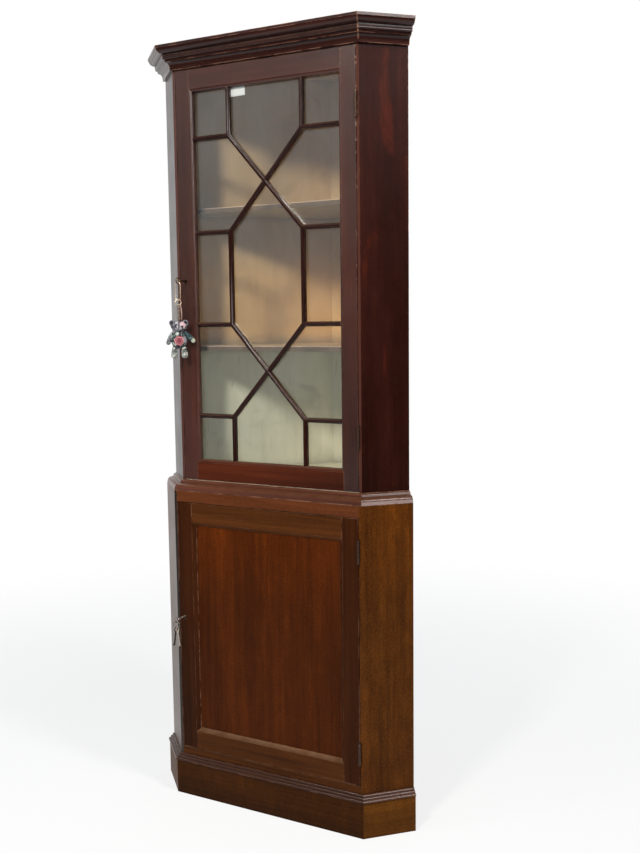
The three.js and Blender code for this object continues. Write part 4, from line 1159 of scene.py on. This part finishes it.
def stage_world():
    """White to the eye. Mirrored, it is white behind, dim in front, and bright at the windows."""
    world = bpy.data.worlds.new("studio")
    bpy.context.scene.world = world
    world.use_nodes = True
    tree = Tree(world.node_tree)
    background = world.node_tree.nodes["Background"]
    path = tree.node("LightPath").outputs
    x, y, z = tree.split(tree.node("TexCoord").outputs["Generated"])
    seen = tree.most(path["Is Camera Ray"], path["Is Transmission Ray"])
    front = tree.times(tree.span(z, 0.0, 0.3, 0.06, 0.8), tree.span(z, 0.35, 0.65, 1.0, 0.25))
    front = tree.times(front, tree.span(x, -0.6, -0.44, 1.3, 0.8))
    behind = tree.span(y, -0.3, 0.3)
    level = tree.vector_math("NORMALIZE", tree.vector(x, y, 0.0))[0]
    mirrored = tree.most(front, behind)
    for turn, low, high, strength in WINDOWS:
        way = (math.sin(turn), -math.cos(turn), 0.0)
        towards = tree.vector_math("DOT_PRODUCT", level, way)["Value"]
        window = tree.times(tree.span(towards, 0.955, 0.975), tree.span(z, low, low + 0.03))
        window = tree.times(window, tree.span(z, high + 0.03, high, 0.0, strength))
        mirrored = tree.most(mirrored, window)
    strength = tree.node("Mix", {0: path["Is Glossy Ray"], 2: AMBIENT, 3: mirrored}, data_type="FLOAT")
    strength = tree.node("Mix", {0: seen, 2: strength.outputs[0], 3: 1.0}, data_type="FLOAT")
    tree.put(background.inputs["Strength"], strength.outputs[0])
    cool = tree.mix(tree.most(seen, path["Is Glossy Ray"]), (0.86, 0.99, 1.14, 1), (1, 1, 1, 1))
    tree.put(background.inputs["Color"], cool)


def area_light(name, place, target, size, power, colour=(1, 1, 1), in_mirrors=True):
    lamp = bpy.data.lights.new(name, "AREA")
    set_all(lamp, shape="DISK", size=size, energy=power, color=colour)
    turn = (Vector(target) - Vector(place)).to_track_quat("-Z", "Y").to_euler()
    set_all(add_object(name, lamp), location=place, rotation_euler=turn, visible_camera=False,
            visible_glossy=in_mirrors, visible_transmission=in_mirrors)


def photo_camera():
    yaw, pitch, roll = (math.radians(angle) for angle in CAMERA_ANGLES)
    data = bpy.data.cameras.new("photo_camera")
    set_all(data, sensor_fit="VERTICAL", sensor_height=SENSOR_HEIGHT, lens=CAMERA_LENS, clip_start=0.05)
    made = add_object("photo_camera", data)
    tilt = Matrix.Rotation(math.pi / 2 + pitch, 4, "X") @ Matrix.Rotation(roll, 4, "Z")
    made.matrix_world = Matrix.Translation(CAMERA_PLACE) @ Matrix.Rotation(yaw, 4, "Z") @ tilt
    bpy.context.scene.camera = made


stage_floor()
stage_world()
area_light("ceiling_lamp", (0.22, -2.4, 3.13), (0, 0.1, 1.1), 0.5, 80.0, (1.0, 0.955, 0.88))
area_light("left_fill", (-2.4, -2.6, 1.9), (0, 0, 1.0), 0.8, 34.0, in_mirrors=False)
area_light("right_lamp", (2.6, -0.45, 4.4), (0.3, 0.05, 1.0), 0.7, 108.0, (1.0, 0.98, 0.94))
photo_camera()
bpy.context.scene.view_settings.view_transform = "Standard"
